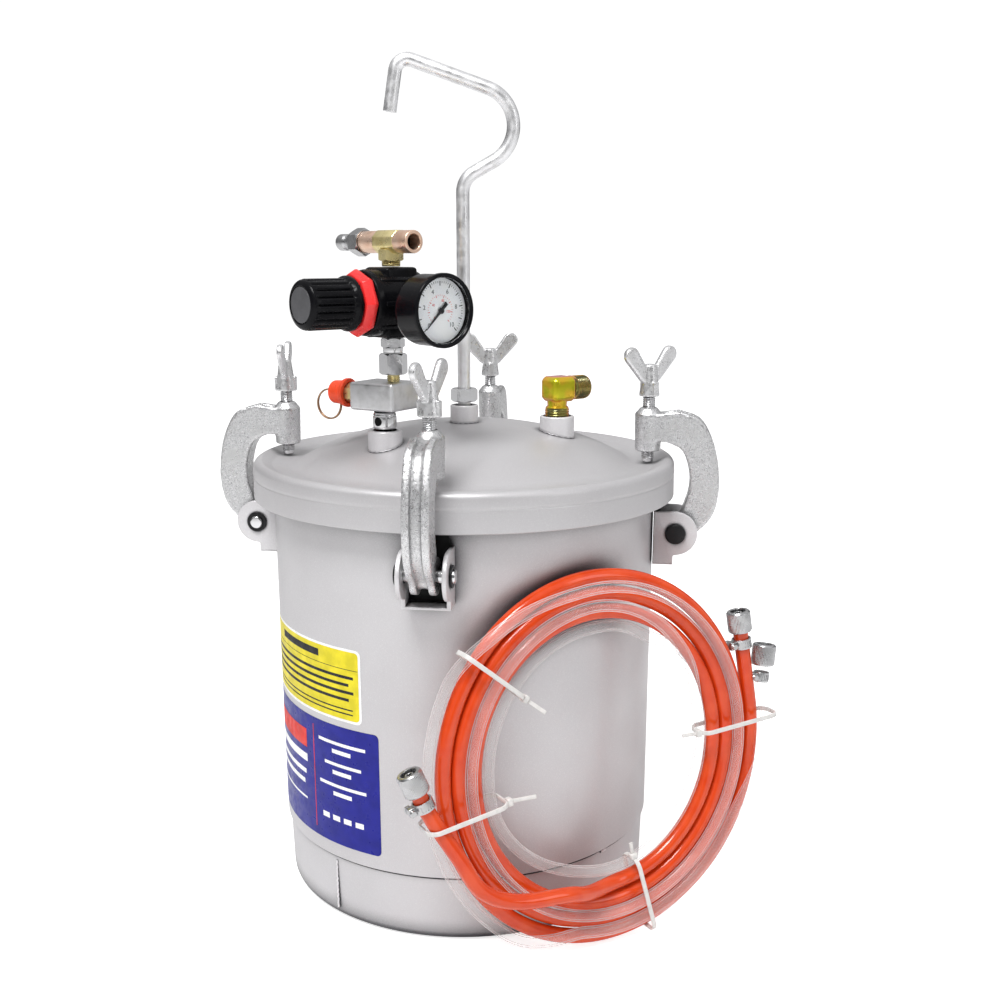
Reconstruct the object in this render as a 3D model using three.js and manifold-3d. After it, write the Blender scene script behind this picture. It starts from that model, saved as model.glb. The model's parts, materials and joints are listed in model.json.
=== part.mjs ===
// A 10 litre pressure pot with a clamped lid: steel tank on a foot ring, domed lid held by four
// swing clamps, carrying hook, air inlet with relief valve, regulator and gauge, outlet elbow with
// its dip tube, and a tied coil of two hoses that leans on the tank.
//
// Millimetres, +Z up. Everything is laid out from the centre of the foot ring's bottom edge, with the
// clamps along X and Y and the front clamp towards -Y. The whole is then moved so that the origin is
// under the middle of its bounding box.

import * as THREE from "three";
import { mergeVertices } from "three/addons/utils/BufferGeometryUtils.js";
import Module from "manifold-3d";

const wasm = await Module();
wasm.setup();

// ---- driving dimensions ----

const GAP = 0.3; // between two pieces that touch
const RUNNING_GAP = 0.3; // radial, between a shaft and its hole

const TANK_R = 120;
const WALL = 2;
const SEAM_Z = 42; // where the tank sits on its foot ring
const RIM_Z = 265;
const RIM_R = 126;
const FOOT_R = 118.4;
const FOOT_LIP_R = 110;

const LID_R = 132.35;
const LID_WALL = 2.2;
const SKIRT_Z = 252.3;
const CREST_R = 127.2; // the lid's raised rim bead
const CREST_Z = 275.2;
const VALLEY_R = 108; // where the dome meets the flange
const VALLEY_Z = 270.3;
const FLANGE = { inner: 111.5, outer: 119.2, z: 272.6 }; // the flat that the clamp screws press on
const DOME_Z = 295.5;
const DOME_POWER = 2.6;
const GASKET = { inner: 117.5, outer: RIM_R, top: 270 };

const HOOK_BOSS = { x: 0, y: 0, r: 8.8, top: 306.5, bore: 4.4 };
const INLET_BOSS = { x: -38.5, y: -55, r: 10.2, top: 297.3, bore: 6.2 };
const OUTLET_BOSS = { x: 58.9, y: -4.2, r: 10.7, top: 301.1, bore: 8 };

const ROD_R = 4; // clamp screws, clamp pins and the hook are all 8 mm round bar
const PIVOT = { r: 134, z: 230.3 };
const EAR = { r: 13.6, outside: 14, thick: 2.6, foot: 133, top: 244, bottom: 210.5 };
const BACK_PLATE = { near: TANK_R + 0.4, thick: 2.6, top: 256, topHalf: 8 };
const ARM_WIDTH = 15;
const KNUCKLE_R = 10.6;
const BARREL = { at: 115.3, r: 8.5, bottom: 279.8, top: 302.8, collar: 306.8, collarR: 6 };
const SCREW = { tip: FLANGE.z + GAP, top: 319 };
const HUB = { bottom: 313.6, bottomR: 7.5, top: 334.4, topR: 4.6 };
const WING = { reach: 20, top: 343.8, thick: 3.4 };
const PIN_HEAD = { r: 6.4, thick: 2.6 };
const CLIP = { r: 6.6, thick: 1.2 };

const HOOK_YAW = 7.7; // degrees from +X to the plane of the hook
const HOOK_START_Z = 298;
const LOCK_NUT = { flats: 14.6, bottom: 308.6, top: 316.8 };

const MANIFOLD_YAW = -23.3; // direction of the block's long side, towards the regulator end
const BLOCK = { long: 31, wide: 27, bottom: 309.8, top: 326, chamfer: 1.5 };
const STACK_OFFSET = 7; // from the inlet boss to the regulator's axis, along the block
const SWIVEL = { ballR: 6.8, neckR: 5, hole: 2.5 };
const RELIEF = { flats: 10.4, face: 12, stemR: 3, stemEnd: 15 };
const CAP = { near: 9.5, far: 22, big: 8.7, small: 6.8, socket: 6.5 }; // from the valve's face, as is RING
const RING = { r: 8.8, wire: 0.7, along: 25.3, below: 7.6 };
const NIPPLE = { r: 3.8, top: 330.2 };
const UNION = { flats: 14.4, top: 342.5 };
const STEM = { collarR: 5.9, collarTop: 345.8, flats: 12.2, top: 351.3 };

const REGULATOR_YAW = -41.3; // direction the gauge faces; the knob points 90 degrees clockwise of it
const REGULATOR = { bottom: 351.7, top: 391, port: 11, coreR: 18.5, back: 19, front: 21.4 };
const COLLAR = { inner: 13.6, outer: 19, near: 21.8, far: 28.6 };
const BONNET = { r: 13, far: 29.4 };
const KNOB = { near: 29.7, far: 61.5, r: 14, flareR: 15.3, flare: 5, ribs: 16, rib: 0.8 };
const GAUGE = { back: 27.5, front: 49.5, r: 20.2, wall: 1.6, recess: 4.6, drop: 3.2 };
const GAUGE_STEM_R = 5;
const NEEDLE = { tip: 14.4, tail: 5.6, half: 0.7, thick: 0.7 };
const NEEDLE_ZERO = 225; // degrees from the dial's three o'clock, counter-clockwise
const TEE = { axis: 404.8, r: 6.2, bore: 4.3, back: -24, front: 22, blockHalf: 9.6, legR: 6.3 };
const PLUG = { flats: 14, hex: 9, length: 26, r: 4.8 };

const ELBOW_YAW = 45;
const ELBOW = { bottom: 309.9, top: 325.3, half: 8, reach: 10.2, threadR: 7.5, length: 22.6, neckR: 6.2 };
const ELBOW_BASE_R = 7.7;
const DIP_TUBE = { r: 5, bore: 4, bottom: 46 };

const COIL_YAW = -56.7; // direction from the tank's axis in which the coil faces
const COIL = { x: 96.2, y: -99.2, z: 117, outer: 109.6, tall: 1.075, pitch: 9.3, lean: 4.5 };
const COIL_START = 8; // degrees from the right to where the hoses join the coil
const FLUID_HOSE_R = 4.5;
const AIR_HOSE_R = 3.5;
const TIE = { angles: [140, 4, 190, 284], slack: 0.6, thick: 1.2, wide: 4 };
const HOSE_NUT = { r: 7.2, length: 13, bore: 3.4, knurls: 16 };
const HOSE_CLAMP = { wide: 6, thick: 1, slack: 1, back: 10 }; // back is from the hose's end

const ROUND = 40; // sides of the large turned pieces
const SMALL_ROUND = 12;

// ---- colours ----

const SILVER_PAINT = { color: 0xc4c4c7, roughness: 0.5, metalness: 0.6 };
const GALVANISED = { color: 0xc9cccd, roughness: 0.35, metalness: 0.9 };
const STEEL = { color: 0xb9bbbd, roughness: 0.25, metalness: 1 };
const BRASS = { color: 0xc9a85a, roughness: 0.3, metalness: 1 };
const PASSIVATED = { color: 0xb09a3a, roughness: 0.3, metalness: 1 };
const BLACK_PLASTIC = { color: 0x0d0d0f, roughness: 0.35, metalness: 0 };
const RED_PLASTIC = { color: 0xd8262a, roughness: 0.4, metalness: 0 };
const ORANGE_PLASTIC = { color: 0xe8502c, roughness: 0.4, metalness: 0 };
const BLACK_RUBBER = { color: 0x151515, roughness: 0.8, metalness: 0 };
const WHITE = { color: 0xf2f2f2, roughness: 0.5, metalness: 0 };
const ORANGE_HOSE = { color: 0xf4572b, roughness: 0.3, metalness: 0 };
const CLEAR_HOSE = { color: 0xf0f0ee, roughness: 0.2, metalness: 0 };

const pot = new THREE.Group();

// ---- making solids ----

// A geometry as a manifold-3d solid.
function solid(geometry) {
  const bare = geometry.index ? geometry.clone() : geometry;
  bare.deleteAttribute("normal");
  bare.deleteAttribute("uv");
  const merged = mergeVertices(bare, 1e-4);
  const vertProperties = merged.attributes.position.array;
  const triVerts = new Uint32Array(merged.index.array);
  return new wasm.Manifold(new wasm.Mesh({ numProp: 3, vertProperties, triVerts }));
}

// A manifold-3d solid as a geometry.
function geometryOf(made) {
  const mesh = made.getMesh();
  const geometry = new THREE.BufferGeometry();
  geometry.setAttribute("position", new THREE.BufferAttribute(mesh.vertProperties, 3));
  geometry.setIndex(new THREE.BufferAttribute(mesh.triVerts, 1));
  geometry.computeVertexNormals();
  return geometry;
}

// The first geometry joined with the others.
function join(...pieces) {
  return geometryOf(pieces.map(solid).reduce((all, next) => all.add(next)));
}

// A geometry with the others cut away.
function cut(body, ...tools) {
  return geometryOf(tools.map(solid).reduce((left, tool) => left.subtract(tool), solid(body)));
}

function moved(geometry, x, y, z) {
  return geometry.clone().translate(x, y, z);
}

const point = (x, y) => new THREE.Vector2(x, y);

// A turned piece about Z. The profile is [radius, height] pairs, counter-clockwise seen with the
// radius to the right, and it starts and ends on the axis or comes back to its first point.
function turned(profile, sides = SMALL_ROUND) {
  const points = profile.map(([r, z]) => point(r, z));
  return new THREE.LatheGeometry(points, sides).rotateX(Math.PI / 2);
}

// A plain round bar about Z, from one height to another.
function bar(r, bottom, top, sides = SMALL_ROUND) {
  const length = top - bottom;
  const cylinder = new THREE.CylinderGeometry(r, r, length, sides);
  return cylinder.rotateX(Math.PI / 2).translate(0, 0, bottom + length / 2);
}

function cone(bottomR, topR, bottom, top, sides = SMALL_ROUND) {
  const length = top - bottom;
  const cylinder = new THREE.CylinderGeometry(topR, bottomR, length, sides);
  return cylinder.rotateX(Math.PI / 2).translate(0, 0, bottom + length / 2);
}

// A hexagonal bar about Z, its size given across the flats.
function hexagon(flats, bottom, top) {
  return bar(flats / Math.sqrt(3), bottom, top, 6);
}

function box(x0, x1, y0, y1, z0, z1) {
  const shape = new THREE.BoxGeometry(x1 - x0, y1 - y0, z1 - z0);
  return shape.translate((x0 + x1) / 2, (y0 + y1) / 2, (z0 + z1) / 2);
}

// A block about Z with its four upright edges and its top and bottom edges chamfered.
function chamferedBlock(long, wide, bottom, top, chamfer) {
  const shape = new THREE.Shape();
  const x = long / 2 - chamfer;
  const y = wide / 2 - chamfer;
  shape.moveTo(-x, -y).lineTo(x, -y).lineTo(x, y).lineTo(-x, y).closePath();
  const bevel = { bevelThickness: chamfer, bevelSize: chamfer, bevelSegments: 1 };
  const depth = top - bottom - 2 * chamfer;
  return new THREE.ExtrudeGeometry(shape, { depth, ...bevel }).translate(0, 0, bottom + chamfer);
}

// A flat outline in a piece's XZ plane, given thickness along Y about its middle.
function plate(shape, thickness, middle = 0) {
  const flat = new THREE.ExtrudeGeometry(shape, { depth: thickness, bevelEnabled: false, curveSegments: 3 });
  return flat.rotateX(Math.PI / 2).translate(0, middle + thickness / 2, 0);
}

// A round bar along a curve.
function tube(curve, r, steps, sides) {
  const section = new THREE.Shape();
  for (let i = 0; i < sides; i += 1) {
    const angle = (i / sides) * 2 * Math.PI;
    const corner = point(r * Math.cos(angle), r * Math.sin(angle));
    if (i === 0) section.moveTo(corner.x, corner.y);
    else section.lineTo(corner.x, corner.y);
  }
  section.closePath();
  return new THREE.ExtrudeGeometry(section, { steps, extrudePath: curve, bevelEnabled: false });
}

const radians = THREE.MathUtils.degToRad;

// A named mesh in a group.
function add(group, name, geometry, finish) {
  const mesh = new THREE.Mesh(geometry, new THREE.MeshStandardMaterial(finish));
  mesh.name = name;
  group.add(mesh);
  return mesh;
}

// A group standing at a place on the pot and turned about Z by degrees.
function standing(x, y, yaw, parent = pot) {
  const group = new THREE.Group();
  group.position.set(x, y, 0);
  group.rotation.z = radians(yaw);
  parent.add(group);
  return group;
}

// ---- tank ----

const DISH_RISE = 10; // how far the tank's dished bottom hangs below its knuckle
const DISH_EDGE_R = TANK_R - 4.4;
const dishZ = (r) => SEAM_Z - 3 - DISH_RISE * (1 - (r / DISH_EDGE_R) ** 2);

function tankShell() {
  const dishRadii = [0, 50, 85, 108];
  const underside = dishRadii.map((r) => [r, dishZ(r)]);
  const inside = dishRadii.map((r) => [r, dishZ(r) + WALL]).reverse();
  return turned(
    [
      ...underside,
      [DISH_EDGE_R, SEAM_Z - 2],
      [DISH_EDGE_R, SEAM_Z + GAP / 2],
      [TANK_R, SEAM_Z + GAP / 2],
      [TANK_R, RIM_Z - 7],
      [RIM_R, RIM_Z - 3],
      [RIM_R, RIM_Z],
      [TANK_R - WALL, RIM_Z],
      [TANK_R - WALL, SEAM_Z + 3],
      ...inside,
    ],
    ROUND,
  );
}

function footRing() {
  const inner = FOOT_R - WALL;
  const top = SEAM_Z - GAP / 2;
  return turned(
    [
      [FOOT_LIP_R, 0],
      [FOOT_R - 3.4, 0],
      [FOOT_R - 1, 1.2],
      [FOOT_R, 4],
      [FOOT_R, top],
      [inner, top],
      [inner, 4.4],
      [FOOT_R - 3.6, WALL],
      [FOOT_LIP_R, WALL],
      [FOOT_LIP_R, 0],
    ],
    ROUND,
  );
}

// ---- lid ----

const domeZ = (r) => DOME_Z - (DOME_Z - VALLEY_Z) * (r / VALLEY_R) ** DOME_POWER;

function lidShell() {
  const domeRadii = [40, 66, 88];
  const outside = domeRadii.map((r) => [r, domeZ(r)]).reverse();
  const inside = domeRadii.map((r) => [r, domeZ(r) - LID_WALL]);
  const innerR = LID_R - LID_WALL;
  const seatZ = GASKET.top + GAP;
  return turned(
    [
      [0, DOME_Z - LID_WALL],
      ...inside,
      [VALLEY_R, VALLEY_Z - LID_WALL],
      [GASKET.inner - 2, seatZ],
      [CREST_R, seatZ],
      [innerR, seatZ - 3],
      [innerR, SKIRT_Z],
      [LID_R, SKIRT_Z],
      [LID_R, CREST_Z - 7],
      [LID_R - 1.2, CREST_Z - 2.6],
      [LID_R - 3, CREST_Z - 0.6],
      [CREST_R, CREST_Z],
      [CREST_R - 3.2, CREST_Z - 1.2],
      [FLANGE.outer, FLANGE.z],
      [FLANGE.inner, FLANGE.z],
      ...outside,
      [0, DOME_Z],
    ],
    ROUND,
  );
}

// A round boss welded on the dome, and the hole down its middle.
function boss({ x, y, r, top }) {
  const foot = domeZ(Math.hypot(x, y) + r) - 0.8;
  return moved(bar(r, foot, top, 16), x, y, 0);
}

function boreOf({ x, y, bore }, bottom) {
  return moved(bar(bore, bottom, HOOK_BOSS.top + 1), x, y, 0);
}

function lid() {
  const welded = join(lidShell(), boss(HOOK_BOSS), boss(INLET_BOSS), boss(OUTLET_BOSS));
  const through = VALLEY_Z;
  return cut(welded, boreOf(HOOK_BOSS, HOOK_START_Z - GAP), boreOf(INLET_BOSS, through), boreOf(OUTLET_BOSS, through));
}

function lidGasket() {
  const bottom = RIM_Z + GAP;
  return turned(
    [
      [GASKET.inner, bottom],
      [GASKET.outer, bottom],
      [GASKET.outer, GASKET.top],
      [GASKET.inner, GASKET.top],
      [GASKET.inner, bottom],
    ],
    ROUND,
  );
}

// ---- clamps: X is outwards from the pot's axis, Y runs along the tank's wall ----

// One ear of the clamp bracket: a nose round the pin, and a foot that runs down the tank.
function earShape() {
  const shape = new THREE.Shape();
  shape.moveTo(BACK_PLATE.near, EAR.bottom);
  shape.lineTo(EAR.foot, EAR.bottom);
  shape.lineTo(EAR.foot + 1, PIVOT.z - EAR.r);
  shape.absarc(PIVOT.r, PIVOT.z, EAR.r, -Math.PI / 2, Math.PI / 2, false);
  shape.lineTo(BACK_PLATE.near, EAR.top);
  shape.closePath();
  return shape;
}

// The plate that carries the ears, seen from outside: its top corners are cut off.
function backPlateShape() {
  const shape = new THREE.Shape();
  const half = EAR.outside;
  shape.moveTo(-half, EAR.bottom).lineTo(half, EAR.bottom).lineTo(half, EAR.top);
  shape.lineTo(BACK_PLATE.topHalf, BACK_PLATE.top).lineTo(-BACK_PLATE.topHalf, BACK_PLATE.top);
  shape.lineTo(-half, EAR.top).closePath();
  return shape;
}

function clampBracket() {
  const earMiddle = EAR.outside - EAR.thick / 2;
  const back = plate(backPlateShape(), BACK_PLATE.thick).rotateZ(Math.PI / 2);
  const sill = box(BACK_PLATE.near, EAR.foot, -EAR.outside, EAR.outside, EAR.bottom, EAR.bottom + EAR.thick);
  const body = join(
    back.translate(BACK_PLATE.near + BACK_PLATE.thick / 2, 0, 0),
    plate(earShape(), EAR.thick, earMiddle),
    plate(earShape(), EAR.thick, -earMiddle),
    sill,
  );
  return cut(body, acrossAt(ROD_R + RUNNING_GAP, 2 * EAR.outside + 2));
}

// A round bar along the clamp's pin.
function acrossAt(r, length, middle = 0, sides = SMALL_ROUND) {
  const rod = new THREE.CylinderGeometry(r, r, length, sides);
  return rod.translate(0, middle, 0).rotateY(Math.PI / sides).translate(PIVOT.r, 0, PIVOT.z);
}

// The C-shaped arm from its knuckle on the pin, up round the lid's rim, to the screw's barrel.
function armShape() {
  const shape = new THREE.Shape();
  const start = radians(-20);
  shape.moveTo(PIVOT.r + KNUCKLE_R * Math.cos(start), PIVOT.z + KNUCKLE_R * Math.sin(start));
  shape.splineThru([
    point(155.5, 239),
    point(159.6, 254),
    point(159, 271),
    point(154.8, 287.4),
    point(147, 300),
    point(134, 305),
  ]);
  shape.lineTo(BARREL.at, BARREL.top);
  shape.lineTo(BARREL.at, 286.4);
  shape.lineTo(127, 286.2);
  shape.splineThru([point(136.6, 281), point(141.2, 268), point(141.2, 255.5), point(136.6, 240.6)]);
  shape.absarc(PIVOT.r, PIVOT.z, KNUCKLE_R, radians(76), radians(340), false);
  return shape;
}

function clampArm() {
  const barrel = turned([
    [0, BARREL.bottom],
    [BARREL.r, BARREL.bottom],
    [BARREL.r, BARREL.top],
    [BARREL.collarR, BARREL.collar],
    [0, BARREL.collar],
  ]);
  const screwHole = bar(ROD_R + RUNNING_GAP, BARREL.bottom - 1, BARREL.collar + 1);
  const knuckleFace = 2 * (EAR.outside - EAR.thick - GAP);
  const body = join(plate(armShape(), ARM_WIDTH), moved(barrel, BARREL.at, 0, 0), acrossAt(KNUCKLE_R, knuckleFace));
  return cut(body, moved(screwHole, BARREL.at, 0, 0), acrossAt(ROD_R + RUNNING_GAP, knuckleFace + 2));
}

function clampSpindle() {
  return turned([
    [0, SCREW.tip],
    [ROD_R - 0.8, SCREW.tip],
    [ROD_R, SCREW.tip + 1],
    [ROD_R, SCREW.top],
    [0, SCREW.top],
  ]);
}

// One wing of the nut, in its own XZ plane with the screw's axis at x = 0.
function wingShape() {
  const shape = new THREE.Shape();
  shape.moveTo(0, HUB.bottom + 6);
  shape.lineTo(6, HUB.bottom + 7);
  shape.quadraticCurveTo(13, HUB.top - 9, 17, HUB.top - 5);
  shape.quadraticCurveTo(WING.reach + 1, HUB.top, WING.reach, HUB.top + 4);
  shape.quadraticCurveTo(WING.reach - 2, WING.top + 1, 14, WING.top - 0.6);
  shape.quadraticCurveTo(8, HUB.top + 5, 3.4, HUB.top);
  shape.lineTo(0, HUB.top - 1);
  shape.closePath();
  return shape;
}

function clampWing() {
  const wing = plate(wingShape(), WING.thick);
  const hub = cone(HUB.bottomR, HUB.topR, HUB.bottom, HUB.top);
  const seat = bar(ROD_R + RUNNING_GAP, HUB.bottom - 1, SCREW.top + GAP);
  return cut(join(hub, wing, wing.clone().rotateZ(Math.PI)), seat);
}

function clampPin() {
  const end = EAR.outside + GAP + 2 * CLIP.thick;
  const shank = acrossAt(ROD_R, EAR.outside + end, (end - EAR.outside) / 2);
  const head = acrossAt(PIN_HEAD.r, PIN_HEAD.thick, -EAR.outside - GAP - PIN_HEAD.thick / 2);
  const neck = acrossAt(ROD_R, 2 * GAP, -EAR.outside);
  return join(shank, head, neck);
}

// The spring clip that holds the pin's end, open on one side.
function clampClip() {
  const middle = EAR.outside + GAP + CLIP.thick / 2;
  const disc = acrossAt(CLIP.r, CLIP.thick, middle);
  const mouth = box(PIVOT.r - 2.4, PIVOT.r + 2.4, EAR.outside, EAR.outside + 3, PIVOT.z, PIVOT.z + 9);
  return cut(disc, acrossAt(ROD_R + RUNNING_GAP, CLIP.thick + 1, middle), mouth);
}

const CLAMPS = [
  { side: "front", yaw: -90, wingYaw: -17 },
  { side: "right", yaw: 0, wingYaw: 41 },
  { side: "back", yaw: 90, wingYaw: -72 },
  { side: "left", yaw: 180, wingYaw: -82 },
];

function addClamp({ side, yaw, wingYaw }) {
  const group = standing(0, 0, yaw);
  add(group, `clamp_bracket_${side}`, clampBracket(), SILVER_PAINT);
  add(group, `clamp_pin_${side}`, clampPin(), BLACK_PLASTIC);
  add(group, `clamp_clip_${side}`, clampClip(), BLACK_PLASTIC);
  add(group, `clamp_arm_${side}`, clampArm(), GALVANISED);
  const screw = standing(BARREL.at, 0, 0, group);
  add(screw, `clamp_spindle_${side}`, clampSpindle(), GALVANISED);
  add(screw, `clamp_wing_${side}`, clampWing(), GALVANISED).rotation.z = radians(wingYaw);
}

// ---- hook ----

// A path of straight runs and bends in one plane. Each step is { run } or { radius, turn }, where
// turn is in degrees, and positive to the left of the way the path goes.
class BentPath extends THREE.Curve {
  constructor(x, y, heading, steps) {
    super();
    this.pieces = [];
    let at = { x, y, heading: radians(heading) };
    for (const step of steps) {
      const length = step.run ?? step.radius * Math.abs(radians(step.turn));
      const curl = step.run ? 0 : Math.sign(step.turn) / step.radius;
      this.pieces.push({ ...at, length, curl });
      at = this.along(this.pieces.at(-1), length);
    }
    this.total = this.pieces.reduce((sum, piece) => sum + piece.length, 0);
  }

  along(piece, distance) {
    const heading = piece.heading + piece.curl * distance;
    const middle = (piece.heading + heading) / 2;
    const half = (piece.curl * distance) / 2;
    const chord = half === 0 ? distance : (distance * Math.sin(half)) / half;
    return { x: piece.x + chord * Math.cos(middle), y: piece.y + chord * Math.sin(middle), heading };
  }

  getPoint(t) {
    let left = t * this.total;
    let index = 0;
    while (index < this.pieces.length - 1 && left > this.pieces[index].length) {
      left -= this.pieces[index].length;
      index += 1;
    }
    const at = this.along(this.pieces[index], left);
    return new THREE.Vector3(at.x, 0, at.y);
  }
}

function hookRod() {
  const path = new BentPath(0, HOOK_START_Z, 90, [
    { run: 136 },
    { radius: 13, turn: -61 },
    { run: 14 },
    { radius: 22.5, turn: 132 },
    { run: 47.5 },
    { radius: 7.5, turn: 100 },
    { run: 23 },
  ]);
  return tube(path, ROD_R, 40, 8);
}

function addHook() {
  const group = standing(HOOK_BOSS.x, HOOK_BOSS.y, HOOK_YAW);
  add(group, "hook_rod", hookRod(), GALVANISED);
  const hole = bar(ROD_R + RUNNING_GAP, LOCK_NUT.bottom - 1, LOCK_NUT.top + 1);
  add(group, "hook_lock_nut", cut(hexagon(LOCK_NUT.flats, LOCK_NUT.bottom, LOCK_NUT.top), hole), STEEL);
}

// ---- air inlet: swivel, manifold block, relief valve and union ----

function inletSwivel() {
  const ballZ = (INLET_BOSS.top + BLOCK.bottom) / 2 - 0.6;
  const ball = [-50, -25, 0, 25, 50].map((degrees) => {
    const angle = radians(degrees);
    return [SWIVEL.ballR * Math.cos(angle), ballZ + SWIVEL.ballR * Math.sin(angle)];
  });
  const shape = turned([
    [0, DOME_Z - 8],
    [INLET_BOSS.bore - RUNNING_GAP, DOME_Z - 8],
    [INLET_BOSS.bore - RUNNING_GAP, INLET_BOSS.top + 0.6],
    ...ball,
    [SWIVEL.neckR, BLOCK.bottom - GAP],
    [0, BLOCK.bottom - GAP],
  ]);
  const crossHole = new THREE.CylinderGeometry(SWIVEL.hole, SWIVEL.hole, 3 * SWIVEL.ballR, 12);
  return cut(shape, crossHole.translate(0, 0, ballZ));
}

// A piece turned about Z laid along -X from a height.
function laidBackwards(geometry, z) {
  return geometry.rotateY(-Math.PI / 2).translate(0, 0, z);
}

function reliefValveBody() {
  const stem = bar(RELIEF.stemR, RELIEF.face - 1, RELIEF.stemEnd);
  return join(hexagon(RELIEF.flats, 0, RELIEF.face), stem);
}

// The split ring through the cap's tip: it hangs in the plane of the cap's axis.
function pullRing(wire) {
  const ring = new THREE.TorusGeometry(RING.r, wire, 6, 24).rotateX(Math.PI / 2);
  return ring.translate(-RING.along, 0, -RING.below);
}

// The pull cap: a taper that slides out along the valve's stem, its mouth round the hexagon.
function reliefValveCap() {
  const shell = cone(CAP.big, CAP.small, CAP.near, CAP.far, 12);
  const socket = bar(CAP.socket, CAP.near - 1, RELIEF.face + GAP);
  const stemHole = bar(RELIEF.stemR + RUNNING_GAP, RELIEF.face, RELIEF.stemEnd + GAP);
  const drilled = laidBackwards(cut(shell, socket, stemHole), 0);
  return cut(drilled, pullRing(RING.wire + GAP));
}

function addInlet() {
  const group = standing(INLET_BOSS.x, INLET_BOSS.y, MANIFOLD_YAW);
  add(group, "inlet_swivel", inletSwivel(), STEEL);
  const block = chamferedBlock(BLOCK.long, BLOCK.wide, BLOCK.bottom, BLOCK.top, BLOCK.chamfer);
  add(group, "manifold_block", block, STEEL);

  const valve = new THREE.Group();
  valve.position.set(-BLOCK.long / 2 - GAP, 0, (BLOCK.bottom + BLOCK.top) / 2);
  group.add(valve);
  add(valve, "relief_valve_body", laidBackwards(reliefValveBody(), 0), BRASS);
  add(valve, "relief_valve_cap", reliefValveCap(), ORANGE_PLASTIC);
  add(valve, "relief_pull_ring", pullRing(RING.wire), STEEL);

  const stack = standing(STACK_OFFSET, 0, REGULATOR_YAW - MANIFOLD_YAW, group);
  add(stack, "manifold_nipple", bar(NIPPLE.r, BLOCK.top + GAP, NIPPLE.top), BRASS);
  add(stack, "union_nut", hexagon(UNION.flats, NIPPLE.top + GAP, UNION.top), STEEL);
  const collar = bar(STEM.collarR, UNION.top + GAP, STEM.collarTop + 0.5);
  add(stack, "regulator_nipple", join(collar, hexagon(STEM.flats, STEM.collarTop, STEM.top)), STEEL);
  return stack;
}

// ---- regulator: X is the way the gauge faces, -Y is the way the knob points ----

// A piece turned about Z laid along -Y, its height measured from the regulator's axis.
function towardsKnob(geometry) {
  return geometry.rotateX(Math.PI / 2).translate(0, 0, (REGULATOR.bottom + REGULATOR.top) / 2);
}

// A piece turned about Z laid along +X, on the gauge's axis just below the regulator's.
function towardsGauge(geometry) {
  const z = (REGULATOR.bottom + REGULATOR.top) / 2 - GAUGE.drop;
  return geometry.rotateY(Math.PI / 2).translate(0, 0, z);
}

function regulatorBody() {
  const port = REGULATOR.port;
  const ports = chamferedBlock(2 * port, 2 * port, REGULATOR.bottom, REGULATOR.top, 0.8);
  const core = turned([
    [0, -REGULATOR.back],
    [REGULATOR.coreR - 5, -REGULATOR.back],
    [REGULATOR.coreR - 1, -REGULATOR.back + 4],
    [REGULATOR.coreR, REGULATOR.front],
    [BONNET.r, REGULATOR.front],
    [BONNET.r, BONNET.far],
    [0, BONNET.far],
  ]);
  const gaugePort = bar(GAUGE_STEM_R + 2.4, 0, GAUGE.back - 5);
  return join(ports, towardsKnob(core), towardsGauge(gaugePort));
}

function regulatorCollar() {
  return turned(
    [
      [COLLAR.inner, COLLAR.near],
      [COLLAR.outer - 1, COLLAR.near],
      [COLLAR.outer, COLLAR.near + 2.5],
      [COLLAR.outer - 2.4, COLLAR.far],
      [COLLAR.inner, COLLAR.far],
      [COLLAR.inner, COLLAR.near],
    ],
    24,
  );
}

// The ribbed knob: a star section drawn out along its axis, with a plain flare at its foot.
function regulatorKnob() {
  const shape = new THREE.Shape();
  const points = [];
  for (let i = 0; i < 2 * KNOB.ribs; i += 1) {
    const angle = (i / KNOB.ribs) * Math.PI;
    const r = i % 2 ? KNOB.r - KNOB.rib : KNOB.r;
    points.push(point(r * Math.cos(angle), r * Math.sin(angle)));
  }
  shape.setFromPoints(points);
  const start = KNOB.near + KNOB.flare - 1;
  const ribbed = new THREE.ExtrudeGeometry(shape, { depth: KNOB.far - start, bevelEnabled: false });
  const flare = cone(KNOB.flareR, KNOB.r - 0.3, KNOB.near, KNOB.near + KNOB.flare, 24);
  return join(ribbed.translate(0, 0, start), flare);
}

// The gauge's cup, its stem, and the rim that holds the glass.
function gaugeCase() {
  const inner = GAUGE.r - GAUGE.wall;
  const floor = GAUGE.front - GAUGE.recess - 3;
  return turned(
    [
      [0, GAUGE.back - 4.7],
      [GAUGE_STEM_R, GAUGE.back - 4.7],
      [GAUGE_STEM_R, GAUGE.back],
      [GAUGE.r - 2, GAUGE.back],
      [GAUGE.r - 0.6, GAUGE.back + 1.4],
      [GAUGE.r - 0.6, GAUGE.front - 4],
      [GAUGE.r, GAUGE.front - 3],
      [GAUGE.r, GAUGE.front - 0.6],
      [GAUGE.r - 0.8, GAUGE.front],
      [inner - 0.6, GAUGE.front],
      [inner - 0.6, floor],
      [0, floor],
    ],
    32,
  );
}

const DIAL_AT = GAUGE.front - GAUGE.recess - 1.2;
const DIAL_THICK = 0.8;
const LENS_THICK = 1.2;
const GLASS_R = GAUGE.r - GAUGE.wall - 1;

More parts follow.
